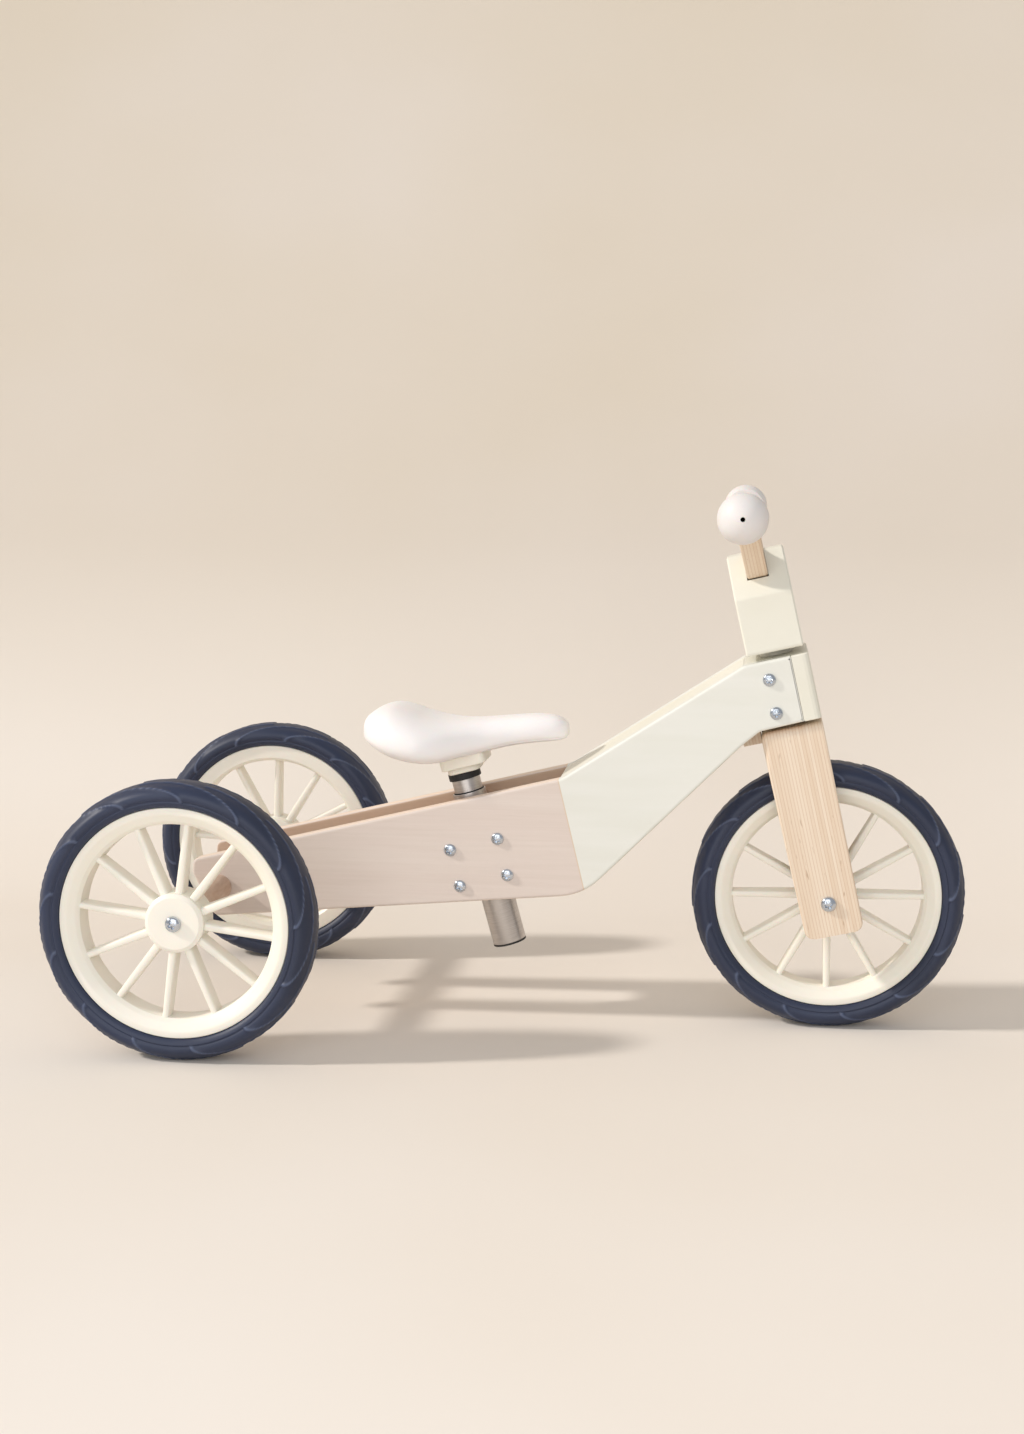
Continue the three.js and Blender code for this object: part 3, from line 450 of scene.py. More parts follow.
class Graph:
    """A material's node tree, with a short method for each kind of node that is used."""

    def __init__(self, name: str) -> None:
        """Starts an empty material with one shader.

        Args:
            name: the material's name.
        """
        self.material = bpy.data.materials.new(name)
        self.material.use_nodes = True
        self.tree = self.material.node_tree
        self.shader = self.tree.nodes["Principled BSDF"]
        self.coordinates = self.add("ShaderNodeTexCoord").outputs["Object"]

    def add(self, kind: str, **settings: object) -> bpy.types.Node:
        """Adds a node and sets its own properties.

        Args:
            kind: the node's type name.
            settings: its properties.

        Returns:
            The node.
        """
        node = self.tree.nodes.new(kind)
        for key, value in settings.items():
            setattr(node, key, value)
        return node

    def feed(self, socket: bpy.types.NodeSocket, value: object) -> None:
        """Links a socket to another, or sets it to a plain value."""
        if isinstance(value, bpy.types.NodeSocket):
            self.tree.links.new(value, socket)
        else:
            socket.default_value = value

    def turned_to(self, axes: Axes) -> bpy.types.NodeSocket:
        """Returns the coordinates in the tilt of a frame, still in metres."""
        node = self.add("ShaderNodeMapping", vector_type="TEXTURE")
        node.inputs["Location"].default_value = Vector(axes.origin * MM)
        node.inputs["Rotation"].default_value = (0, math.atan2(axes.z[0], axes.z[2]), 0)
        self.feed(node.inputs["Vector"], self.coordinates)
        return node.outputs["Vector"]

    def noise(self, scale: tuple[float, float, float], detail: float = 3,
              vector: bpy.types.NodeSocket | None = None) -> bpy.types.NodeSocket:
        """Returns noise whose lumps are one over scale metres long on each axis."""
        mapping = self.add("ShaderNodeMapping")
        mapping.inputs["Scale"].default_value = scale
        self.feed(mapping.inputs["Vector"], vector or self.coordinates)
        node = self.add("ShaderNodeTexNoise")
        node.inputs["Scale"].default_value = 1
        node.inputs["Detail"].default_value = detail
        self.feed(node.inputs["Vector"], mapping.outputs["Vector"])
        return node.outputs["Fac"]

    def axis(self, name: str, vector: bpy.types.NodeSocket | None = None) -> bpy.types.NodeSocket:
        """Returns the X, Y or Z of the coordinates."""
        node = self.add("ShaderNodeSeparateXYZ")
        self.feed(node.inputs[0], vector or self.coordinates)
        return node.outputs[name]

    def math(self, operation: str, a: object, b: object = 0.0) -> bpy.types.NodeSocket:
        """Returns a sum or other operation on two sockets or numbers."""
        node = self.add("ShaderNodeMath", operation=operation)
        self.feed(node.inputs[0], a)
        self.feed(node.inputs[1], b)
        return node.outputs[0]

    def ramp(self, value: object, low: float, high: float, start: float = 0.0,
             end: float = 1.0) -> bpy.types.NodeSocket:
        """Returns the value stretched from low..high to start..end, and held there outside."""
        node = self.add("ShaderNodeMapRange")
        for key, number in zip(("Value", "From Min", "From Max", "To Min", "To Max"),
                               (value, low, high, start, end)):
            self.feed(node.inputs[key], number)
        return node.outputs[0]

    def mix(self, share: object, a: object, b: object) -> bpy.types.NodeSocket:
        """Returns colour a where share is 0 and colour b where it is 1."""
        node = self.add("ShaderNodeMix", data_type="RGBA")
        self.feed(node.inputs["Factor"], share)
        self.feed(node.inputs[6], linear(a) if isinstance(a, str) else a)
        self.feed(node.inputs[7], linear(b) if isinstance(b, str) else b)
        return node.outputs[2]

    def attribute(self, name: str) -> bpy.types.NodeSocket:
        """Returns a number that the mesh holds at each point."""
        return self.add("ShaderNodeAttribute", attribute_name=name).outputs["Fac"]

    def random(self, value: object) -> bpy.types.NodeSocket:
        """Returns a number from 0 to 1 that is the same wherever the value is."""
        node = self.add("ShaderNodeTexWhiteNoise", noise_dimensions="1D")
        self.feed(node.inputs["W"], value)
        return node.outputs["Value"]

    def bump(self, height: object, distance: float) -> None:
        """Raises the surface by height times distance in metres."""
        node = self.add("ShaderNodeBump")
        node.inputs["Distance"].default_value = distance
        self.feed(node.inputs["Height"], height)
        self.feed(self.shader.inputs["Normal"], node.outputs["Normal"])


@dataclass(frozen=True)
class Finish:
    """What a piece is covered in: one colour with fine mottling, a roughness and a grain."""

    name: str
    colour: str
    shade: str
    roughness: float
    grain: float = 900.0     # lumps to the metre
    relief: float = 0.02     # mm
    metallic: float = 0.0
    glow: float = 0.0        # share of light that passes under the surface

    def material(self) -> bpy.types.Material:
        """Returns this finish's material, made the first time it is asked for."""
        found = bpy.data.materials.get(self.name)
        return found or self.build(Graph(self.name)).material

    def build(self, graph: Graph) -> Graph:
        """Lays out the nodes of this finish.

        Args:
            graph: an empty material.

        Returns:
            The same graph, filled.
        """
        cloud = graph.noise((9, 9, 9), 4)
        fine = graph.noise((self.grain,) * 3, 2)
        graph.feed(graph.shader.inputs["Base Color"], graph.mix(
            graph.ramp(cloud, 0.35, 0.7), self.colour, self.shade))
        self.surface(graph, cloud)
        graph.bump(fine, self.relief * MM)
        return graph

    def surface(self, graph: Graph, wear: bpy.types.NodeSocket) -> None:
        """Sets roughness, metal and glow, with the roughness shifted a little by wear."""
        graph.feed(graph.shader.inputs["Roughness"], graph.ramp(
            wear, 0.3, 0.7, self.roughness - 0.05, self.roughness + 0.06))
        graph.shader.inputs["Metallic"].default_value = self.metallic
        graph.shader.inputs["Subsurface Weight"].default_value = self.glow
        graph.shader.inputs["Subsurface Scale"].default_value = 3 * MM


@dataclass(frozen=True)
class WashedPly(Finish):
    """Whitewashed birch ply, with painted shade on its inner faces, a bare rim painted paler along
    its top where light falls, and a front part painted cream.
    """

    bare: str = "#d8b98a"
    glue: str = "#c4a06f"
    # painted light: the bare ply of the upper edges, drawn paler as if lit from above
    lit_bare_top: str = "#ecd9c8"
    # painted shade: the browner tone of the inner faces between the panels, which lie in shade; the
    # next field is its darker mottle
    inside: str = "#cdb29c"
    inner_shade_deep: str = "#c2a68e"
    inner_shade_reach: float = 31.5   # mm from the middle plane
    cloud: str = "#e4dad1"
    pore: str = "#b9a596"
    ply: float = 1.36            # mm
    paint: str = "#e6e6df"
    paint_shade: str = "#e1e1d8"
    boundary_top: tuple[float, float] = (38.0, 234.6)
    boundary_bottom: tuple[float, float] = (62.5, 131.0)

    def painted(self, graph: Graph) -> bpy.types.NodeSocket:
        """Returns how many metres a point lies ahead of the line where the paint begins."""
        top, bottom = np.array(self.boundary_top), np.array(self.boundary_bottom)
        run = unit(top - bottom)
        normal = np.array([run[1], -run[0]])
        x = graph.math("MULTIPLY", graph.axis("X"), float(normal[0]))
        z = graph.math("MULTIPLY", graph.axis("Z"), float(normal[1]))
        return graph.math("SUBTRACT", graph.math("ADD", x, z), float(top @ normal) * MM)

    def build(self, graph: Graph) -> Graph:
        """Lays out the washed grain, the painted shade of the inner faces, the plies of the bare
        edge with painted light on its top, and the paint.
        """
        broad = graph.noise((7, 30, 60), 4)
        figure = graph.noise((10, 90, 380), 5)
        pores = graph.noise((60, 900, 2200), 2)
        wood = graph.mix(graph.ramp(figure, 0.35, 0.68), self.colour, self.shade)
        wood = graph.mix(graph.ramp(broad, 0.45, 0.75, 0.0, 0.35), wood, self.cloud)
        wood = graph.mix(graph.ramp(pores, 0.66, 0.8, 0.0, 0.22), wood, self.pore)
        reach = graph.math("ABSOLUTE", graph.axis("Y"))
        outside = graph.ramp(reach, (self.inner_shade_reach - 0.3) * MM, self.inner_shade_reach * MM)
        # painted shade: near the middle plane the wood takes the browner tone of the shaded inner
        # faces
        wood = graph.mix(outside, graph.mix(figure, self.inside, self.inner_shade_deep), wood)
        layer = graph.math("FLOOR", graph.math("MULTIPLY", graph.axis("Y"), 1 / (self.ply * MM)))
        rim = graph.mix(graph.ramp(graph.random(layer), 0.2, 0.8), self.bare, self.glue)
        # painted light: upper edges take the paler bare tone, as if lit from above
        rim = graph.mix(graph.attribute("top"), rim, self.lit_bare_top)
        edge = graph.attribute("edge")
        ahead = self.painted(graph)
        paint = graph.ramp(ahead, 0.2 * MM, 0.5 * MM)
        line = graph.math("MULTIPLY", graph.ramp(ahead, -0.9 * MM, -0.5 * MM),
                          graph.ramp(ahead, 0.6 * MM, 0.1 * MM))
        low_edge = graph.math("SUBTRACT", 1, graph.attribute("top"))
        bare_under_paint = graph.math("MULTIPLY", low_edge, graph.ramp(edge, 0.85, 0.95))
        covered = graph.math("MULTIPLY", paint, graph.math("SUBTRACT", 1, bare_under_paint))
        colour = graph.mix(graph.ramp(edge, 0.8, 0.95), wood, rim)
        colour = graph.mix(graph.math("MULTIPLY", line, 0.4), colour, self.bare)
        coat = graph.mix(graph.ramp(broad, 0.3, 0.7), self.paint, self.paint_shade)
        graph.feed(graph.shader.inputs["Base Color"], graph.mix(covered, colour, coat))
        graph.feed(graph.shader.inputs["Roughness"], graph.ramp(covered, 0, 1, 0.58, 0.42))
        relief = graph.math("MULTIPLY", graph.math("ADD", figure, graph.math(
            "MULTIPLY", pores, 0.6)), graph.ramp(covered, 0, 1, 1.0, 0.12))
        graph.bump(relief, 0.05 * MM)
        return graph


@dataclass(frozen=True)
class Backdrop(Finish):
    """Matt paper whose floor is paler than its wall."""

    wall: str = "#e3d8c7"
    wall_from: float = 60.0      # mm above the floor
    wall_to: float = 520.0

    def build(self, graph: Graph) -> Graph:
        """Lays out the slow change from the floor's colour to the wall's."""
        cloud = graph.noise((1.6, 1.6, 2.2), 2)
        height = graph.ramp(graph.axis("Z"), self.wall_from * MM, self.wall_to * MM)
        floor = graph.mix(graph.ramp(cloud, 0.35, 0.7), self.colour, self.shade)
        wall = graph.mix(graph.ramp(cloud, 0.35, 0.7), self.wall, self.shade)
        graph.feed(graph.shader.inputs["Base Color"], graph.mix(height, floor, wall))
        self.surface(graph, cloud)
        graph.bump(graph.noise((self.grain,) * 3, 2), self.relief * MM)
        return graph


@dataclass(frozen=True)
class Laminate(Finish):
    """Thin veneers glued in a stack across the steering frame's x, with grain along its z."""

    veneer: float = 2.9      # mm
    joint_width: float = 0.3
    glue: str = "#cfae90"
    fleck: str = "#a5805c"
    grain_along: tuple[float, float, float] = (900.0, 900.0, 26.0)

    def build(self, graph: Graph) -> Graph:
        """Lays out the veneers, their glue lines and their grain."""
        local = graph.turned_to(STEERING)
        stack = graph.math("MULTIPLY", graph.axis("X", local), 1 / (self.veneer * MM))
        layer = graph.math("FLOOR", stack)
        place = graph.math("SUBTRACT", stack, layer)
        glue = graph.ramp(place, self.joint_width, 0.0)
        grain = graph.noise(self.grain_along, 4, local)
        fleck = graph.noise((420, 420, 60), 2, local)
        tone = graph.math("ADD", graph.math("MULTIPLY", graph.random(layer), 0.35),
                          graph.math("MULTIPLY", grain, 0.4))
        wood = graph.mix(graph.ramp(tone, 0.15, 0.95), self.colour, self.shade)
        wood = graph.mix(graph.ramp(fleck, 0.68, 0.76, 0, 0.55), wood, self.fleck)
        wood = graph.mix(graph.math("MULTIPLY", glue, 0.75), wood, self.glue)
        graph.feed(graph.shader.inputs["Base Color"], wood)
        self.surface(graph, grain)
        relief = graph.math("SUBTRACT", graph.math("MULTIPLY", grain, 0.5), glue)
        graph.bump(relief, 0.05 * MM)
        return graph


@dataclass(frozen=True)
class Foam(Finish):
    """Foam rubber with a highlight painted on its raised tread."""

    # painted highlight: the paler colour laid on the tread's ridges
    ridge: str = "#4d5873"

    def build(self, graph: Graph) -> Graph:
        """Lays out the foam's mottling, with a painted highlight on the tread's ridges."""
        cloud = graph.noise((9, 9, 9), 4)
        foam = graph.mix(graph.ramp(cloud, 0.35, 0.7), self.colour, self.shade)
        # painted highlight: the share of the ridge colour follows the tread's relief, held in the
        # edge attribute
        ridge = graph.ramp(graph.attribute("edge"), 0.25, 0.9, 0.0, 0.8)
        graph.feed(graph.shader.inputs["Base Color"], graph.mix(ridge, foam, self.ridge))
        self.surface(graph, cloud)
        graph.bump(graph.noise((self.grain,) * 3, 2), self.relief * MM)
        return graph


@dataclass(frozen=True)
class BrushedTube(Finish):
    """Satin metal with fine lines round the seat tube."""

    def build(self, graph: Graph) -> Graph:
        """Lays out the brushed lines, which run round the tube."""
        lines = graph.noise((60, 60, 2600), 3, graph.turned_to(SEAT))
        graph.feed(graph.shader.inputs["Base Color"], graph.mix(
            graph.ramp(lines, 0.3, 0.7), self.colour, self.shade))
        self.surface(graph, lines)
        graph.bump(lines, self.relief * MM)
        return graph


WASHED = WashedPly("washed_ply", "#dccec5", "#d8cac0", 0.58)
BEAM_WOOD = WashedPly("beam_wood", "#cfb29c", "#c4a48c", 0.55, bare="#cdb097", glue="#bd9c80",
                      lit_bare_top="#cdb097")
FORK_LAMINATE = Laminate("fork_laminate", "#ecdcc8", "#d8bea2", 0.5)
BAR_LAMINATE = Laminate("bar_laminate", "#e8d6bf", "#d2b493", 0.5)
PAINT = Finish("cream_coat", "#eae8dc", "#e5e2d3", 0.42, 700, 0.02)
PLASTIC = Finish("moulded_cream", "#f3efe4", "#efeadc", 0.38, 1100, 0.015, glow=0.08)
FOAM = Foam("charcoal_foam", "#26304a", "#1f283f", 0.48, 1500, 0.06)
RUBBER = Finish("soft_white", "#f7f4f4", "#f3efee", 0.5, 2200, 0.03, glow=0.12)
# painted shade: a darker copy of the saddle's white rubber, so that the grips render less bright
SHADED_GRIP_RUBBER = Finish("soft_grip_shaded", "#e3dfdd", "#ded9d7", 0.5, 2200, 0.03, glow=0.12)
PAPER = Backdrop("paper", "#ece5dd", "#e8dfd4", 0.9, 300)
SEAL = Finish("soft_black", "#262626", "#1e1e1e", 0.6, 1400, 0.03)
BUSHING = Finish("bush_nylon", "#d8d4c8", "#cfcabb", 0.5)
BRIGHT_ZINC = Finish("bright_zinc", "#ccd2da", "#b4bcc6", 0.22, 1800, 0.01, metallic=1.0)
TUBE = BrushedTube("satin_tube", "#cbc6c2", "#b7b0ab", 0.34, relief=0.01, metallic=0.85)


# ---- fasteners ----------------------------------------------------------------------------


@dataclass(frozen=True)
class DomedHead:
    """A screw's domed head with a cross recess, standing on a frame's z = 0."""

    radius: float = 5.8
    height: float = 3.4
    rim: float = 0.9
    slot_half_width: float = 1.1
    slot_reach: float = 3.1
    slot_depth: float = 2.3
    turn: float = 0.4        # radians that the cross is turned

    def grid(self, axes: Axes) -> Grid:
        """Returns the head's surface.

        The height at radius r is the rim plus the rest times (1 - (r / radius)^2)^0.6, less the
        recess: the slot's depth times a soft step across the nearer arm of the cross.

        Args:
            axes: the frame that the head stands in.

        Returns:
            The surface's points, faces and edge values.
        """
        share = np.concatenate([np.linspace(0, 0.62, 20), np.linspace(0.66, 1, 9)])[:, None]
        angle = np.linspace(0, 2 * np.pi, 64, endpoint=False)
        r = share * self.radius
        x, y = r * np.cos(angle), r * np.sin(angle)
        z = self.rim + (self.height - self.rim) * (1 - share**2) ** 0.6 + 0 * angle
        bx, by = r * np.cos(angle - self.turn), r * np.sin(angle - self.turn)
        narrow = np.minimum(np.abs(bx), np.abs(by))
        arm = np.clip((self.slot_half_width - narrow) / 0.3 + 0.5, 0, 1)
        end = np.clip((self.slot_reach - r) / 0.5 + 0.5, 0, 1)
        z = z - self.slot_depth * arm * end
        dome = np.stack([x, y, z], -1)
        foot = np.stack([x[-1], y[-1], 0 * x[-1]], -1)[None]
        return sheet_of(axes.place(np.vstack([dome, foot])))


@dataclass
class Fasteners:
    """Every screw head that shows, on the frame, the axles and the stem."""

    frame_half_width: float = 46.0
    stem_front: float = 22.0   # the heads are sunk in the stem

    def build(self) -> None:
        """Makes the heads of the side screws, the axle bolts and the stem screws."""
        for side, facing in (("right", -1), ("left", 1)):
            names = [f"seat_screw_{side}_{i}" for i in range(1, 5)]
            names += [f"head_screw_{side}_{i}" for i in range(1, 3)]
            for turn, name in enumerate(names):
                spot = middle_of(name)
                spot[1] = facing * self.frame_half_width
                head = DomedHead(turn=0.3 + 0.9 * turn)
                self.add(name, head.grid(sideways(spot, facing)), "frame")
            self.stem_screw(side)

    def stem_screw(self, side: str) -> None:
        """Makes one screw head on the front of the stem."""
        name = f"stem_screw_{side}"
        ahead = STEERING.x
        spot = middle_of(name)
        spot = spot + ahead * (self.stem_front - (spot - STEERING.origin) @ ahead)
        axes = Axes(spot, STEERING.y, STEERING.z, ahead)
        self.add(name, DomedHead().grid(axes), "steering")

    def add(self, name: str, grid: Grid, body: str) -> None:
        """Dresses one head in zinc and hides the CAD screw."""
        dress(make_piece(f"{name}_head", [grid]), body, Slot.ZINC, BRIGHT_ZINC, name)


# ---- frame --------------------------------------------------------------------------------


@dataclass
class Panels:
    """The two plywood side panels."""

    thickness: float = 15.0
    half_width: float = 46.0
    edge: float = 2.4
    seam_edge: float = 0.5
    back_top: tuple[float, float] = (-310.0, 151.0)
    back_low: tuple[float, float] = (-311.0, 138.0)
    back_bottom: tuple[float, float] = (-291.0, 96.6)
    waist_bottom: tuple[float, float] = (61.0, 127.2)
    throat: tuple[float, float] = (203.8, 268.9)
    waist_top: tuple[float, float] = (41.0, 236.0)
    head_bottom: float = 169.3
    head_top: float = 229.5
    head_seam: float = 12.3
    head_rear: float = -30.0
    middle_end: float = 262.0    # x at the front of the line that parts upper from lower edge
    middle_heights: tuple[float, ...] = (124.0, 182.0, 290.0, 320.0)

    def outline(self) -> np.ndarray:
        """Returns the panel's (x, z) outline, with its corners rounded."""
        def steer(ahead: float, up: float) -> np.ndarray:
            """A point of the steering frame, seen from the side."""
            return STEERING.place(np.array([ahead, 0.0, up]))[[0, 2]]

        corners = [
            self.back_top, self.back_low, self.back_bottom, self.waist_bottom, self.throat,
            steer(-28.0, self.head_bottom - 1.1), steer(self.head_seam, self.head_bottom),
            steer(self.head_seam, self.head_top), steer(self.head_rear, self.head_top),
            self.waist_top,
        ]
        radii = np.array([7, 8, 9, 62, 20, 12, 0.8, 0.8, 6, 30])
        return resampled(eased(np.array(corners), radii, 12), 5.0)

    def build(self) -> None:
        """Makes both panels, marking the points of their upper edges."""
        outline = self.outline()
        ahead = (np.insert(outline, 1, 0, axis=1) - STEERING.origin) @ STEERING.x
        edge = np.where(ahead > self.head_seam - 0.2, self.seam_edge, self.edge)
        for side, low in (("right", -self.half_width), ("left", self.half_width - self.thickness)):
            grid = slab(outline, low, low + self.thickness, edge, across(BIKE))
            piece = make_piece(f"panel_{side}", [grid])
            self.mark_top(piece)
            dress(piece, "frame", Slot.WASHED_WOOD, WASHED, f"side_panel_{side}")

    def mark_top(self, piece: bpy.types.Object) -> None:
        """Stores 1 at each point above the panel's middle line, and 0 below it."""
        co = np.zeros(len(piece.data.vertices) * 3, np.float32)
        piece.data.vertices.foreach_get("co", co)
        x, _, z = co.reshape(-1, 3).T / MM
        knots = [self.back_low[0], self.waist_bottom[0], self.throat[0], self.middle_end]
        line = np.interp(x, knots, self.middle_heights)
        top = piece.data.attributes.new("top", "FLOAT", "POINT")
        top.data.foreach_set("value", (z > line).astype(np.float32))


@dataclass
class AxleBeam:
    """The round beam through the back of the panels."""

    radius: float = 12.0
    end_ease: float = 1.5

    def build(self) -> None:
        """Makes the beam with eased ends."""
        low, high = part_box("axle_beam")
        half = (high.y - low.y) / (2 * MM)
        axes = sideways(middle_of("axle_beam"), 1)
        corners = np.array([[0, -half], [self.radius, -half], [self.radius, half], [0, half]])
        profile = eased(corners, np.array([0, self.end_ease, self.end_ease, 0]))
        grid = turned(profile, axes, loop=False)
        piece = make_piece("rear_beam", [grid])
        dress(piece, "frame", Slot.WASHED_WOOD, BEAM_WOOD, "axle_beam")


@dataclass
class Blocks:
    """The wooden blocks whose CAD shape is kept: they only get their finish."""

    painted: tuple[str, ...] = ("front_core", "head_block", "stem_block")
    washed: tuple[str, ...] = ("seat_block",)
    laminated: tuple[str, ...] = ("steering_stop_lug",)
    zinc: tuple[str, ...] = ("seat_lock_screw", "steering_bolt", "stem_insert")
    nylon: tuple[str, ...] = ("head_bush_lower", "head_bush_upper")

    def build(self) -> None:
        """Gives each kept CAD node its finish."""
        groups = ((self.painted, PAINT), (self.washed, WASHED), (self.laminated, FORK_LAMINATE),
                  (self.zinc, BRIGHT_ZINC), (self.nylon, BUSHING))
        for names, finish in groups:
            for name in names:
                data = frame["nodes"][name].data
                data.materials.clear()
                data.materials.append(finish.material())
                LOG.info("%s: kept", name)


# ---- seat ---------------------------------------------------------------------------------


@dataclass
class SeatTube:
    """The tube through the frame, with its liner and end ring, and the post that slides in it."""

    sleeve: tuple[float, float, float, float] = (15.9, 14.7, 1.8, 151.0)
    liner: tuple[float, float, float, float] = (14.4, 13.85, 108.0, 152.0)
    post: tuple[float, float, float, float] = (13.6, 11.8, 18.0, 170.5)
    seal: tuple[float, float, float, float] = (15.5, 13.9, 164.0, 170.5)
    end_ring: tuple[tuple[float, float], ...] = (
        (12.0, 0.0), (15.9, 0.0), (15.9, 1.5), (14.4, 1.5), (14.4, 8.0), (12.0, 8.0))

    def build(self) -> None:
        """Makes the four tubes and the end ring."""
        tubes = (
            ("sleeve_tube", self.sleeve, "frame", Slot.POST_METAL, TUBE, "seat_sleeve"),
            ("sleeve_liner", self.liner, "frame", Slot.BLACK_RUBBER, SEAL, "post_bush"),
            ("post_tube", self.post, "seat", Slot.POST_METAL, TUBE, "seat_post"),
            ("post_seal", self.seal, "seat", Slot.BLACK_RUBBER, SEAL, "seal_ring"),
        )
        for name, sizes, body, slot, finish, node in tubes:
            dress(make_piece(name, [ring(*sizes, SEAT)]), body, slot, finish, node)
        grid = turned(eased(np.array(self.end_ring), 0.3), SEAT)
        dress(make_piece("sleeve_foot", [grid]), "frame", Slot.BLACK_RUBBER, SEAL,
              "sleeve_end_ring")


@dataclass
class Bracket:
    """The stepped plate under the saddle, with the spigot that sits in the post."""

    plate: tuple[float, float, float] = (-17.0, 26.5, 24.0)
    plate_heights: tuple[float, float] = (176.5, 189.0)
    step: tuple[float, float, float] = (-13.0, 18.5, 18.0)
    step_heights: tuple[float, float] = (170.8, 177.0)
    plate_corner: float = 7.0
    step_corner: float = 9.0
    edge: float = 1.2
    spigot_radius: float = 11.5
    spigot_bottom: float = 148.0

    def level(self, sizes: tuple[float, float, float], heights: tuple[float, float],
              corner: float) -> Grid:
        """Returns one flat level of the bracket: a rounded rectangle with eased edges.

        Args:
            sizes: its back, its front and its half width.
            heights: its bottom and its top.
            corner: the radius of its corners in plan.

        Returns:
            The surface's points, faces and edge values.
        """
        back, front, half = sizes
        corners = np.array([[back, -half], [front, -half], [front, half], [back, half]])
        return slab(eased(corners, corner, 8), *heights, self.edge, upward(SEAT))

    def build(self) -> None:
        """Makes the plate, the step and the spigot as one piece."""
        radius, low, high = self.spigot_radius, self.spigot_bottom, self.plate_heights[0] + 1
        corners = np.array([[0, low], [radius, low], [radius, high], [0, high]])
        spigot = turned(eased(corners, np.array([0, 1, 0, 0])), SEAT, loop=False)
        grids = [self.level(self.plate, self.plate_heights, self.plate_corner),
                 self.level(self.step, self.step_heights, self.step_corner), spigot]
        dress(make_piece("saddle_plate", grids), "seat", Slot.CREAM_PLASTIC, PLASTIC,
              "saddle_bracket")


@dataclass
class Saddle:
    """The moulded saddle: stations from tail to nose hold x, top, bottom and half width."""

    stations: tuple[tuple[float, float, float, float], ...] = (
        (-151, 276, 270, 0), (-148, 284, 266.3, 24), (-142, 290, 262, 41), (-132, 295.2, 256.4, 53),
        (-120, 297.2, 251, 60), (-106, 294.2, 247.3, 63.5), (-90, 288.8, 245.5, 63.5),
        (-74, 285.4, 246.1, 57), (-56, 284.3, 250, 44), (-36, 285.2, 254.2, 32),
        (-12, 287.6, 260.1, 25), (12, 289.4, 263.6, 21.5), (29, 288.6, 265.1, 18),
        (38, 285.2, 266.6, 14), (42.5, 281, 269.2, 9), (44, 276, 272.5, 0),
    )
    rows: int = 150
    columns: int = 112
    seam_drop: float = 0.14      # the seam's height, as a share of the side
    seam_depth: float = 0.6

    def grid(self) -> Grid:
        """Returns the saddle's surface.

        Across each station, the outline is a rounded box: y is the half width times cosine to
        the power 0.72 above the side's middle height and 0.45 below it, and z goes from there
        to the top, or down to the bottom, by sine to the power 0.86. A groove is pressed in
        along the seam.

        Returns:
            The surface's points, faces and edge values.
        """
        at = (1 - np.cos(np.linspace(0, np.pi, self.rows))) / 2 * (len(self.stations) - 1)
        x, top, bottom, width = spline(np.array(self.stations, float), at).T[:, :, None]
        width = np.maximum(width, 0)
        angle = np.linspace(0, 2 * np.pi, self.columns, endpoint=False)
        cosine, sine = np.cos(angle), np.sin(angle)
        middle = bottom + 0.38 * (top - bottom)
        y = width * np.sign(cosine) * np.abs(cosine) ** np.where(sine < 0, 0.45, 0.72)
        lift = np.sign(sine) * np.abs(sine) ** 0.86
        z = middle + np.where(lift > 0, (top - middle) * lift, (middle - bottom) * lift)
        height = (z - bottom) / np.maximum(top - bottom, 1e-6)
        groove = np.exp(-(((height - self.seam_drop) * (top - bottom)) / 0.55) ** 2)
        y = y * (1 - groove * self.seam_depth / np.maximum(width, 6))
        return sheet_of(np.stack([x + 0 * y, y, z], -1))

    def build(self) -> None:
        piece = make_piece("saddle_skin", [self.grid()], sharp=75)
        dress(piece, "seat", Slot.WHITE_RUBBER, RUBBER, "saddle")


# ---- wheels -------------------------------------------------------------------------------


@dataclass(frozen=True)
class Tread:
    """Thin raised arcs that sweep from the shoulder to the crown, each crossing the next."""

    cells: int = 13
    span: float = 1.75       # an arc's length, in cells
    height: float = 0.95
    width: float = 1.05
    top: float = 22.0        # an arc's highest climb
    radius: float = 116.0    # of the middle of the sidewall

    def relief(self, angle: np.ndarray, climb: np.ndarray) -> np.ndarray:
        """Returns how far the tyre stands out at each point.

        Arc k climbs as the sine of its own progress round the wheel, so it leaves the shoulder
        steeply and comes level with the crown. The relief is a bell across each arc.

        Args:
            angle: the angle round the wheel, in radians.
            climb: millimetres up the sidewall from the shoulder ridge.

        Returns:
            The relief in millimetres.
        """
        cell = 2 * np.pi / self.cells
        total = np.zeros(np.broadcast(angle, climb).shape)
        for k in range(self.cells):
            progress = ((angle - k * cell) % (2 * np.pi)) / (self.span * cell)
            inside = np.clip(progress, 0, 1)
            rise = self.top * np.sin(inside * np.pi / 2) ** 0.8
            slope = self.top * (np.pi / 2) * np.cos(inside * np.pi / 2)
            slope = slope / (self.span * cell * self.radius)
            distance = (climb - rise) / np.sqrt(1 + slope**2)
            ridge = np.exp(-((distance / self.width) ** 2)) * (progress < 1)
            total = np.maximum(total, self.height * ridge)
        return total


BELOW_TREAD = -9.0  # mm of climb, too low for any arc to reach


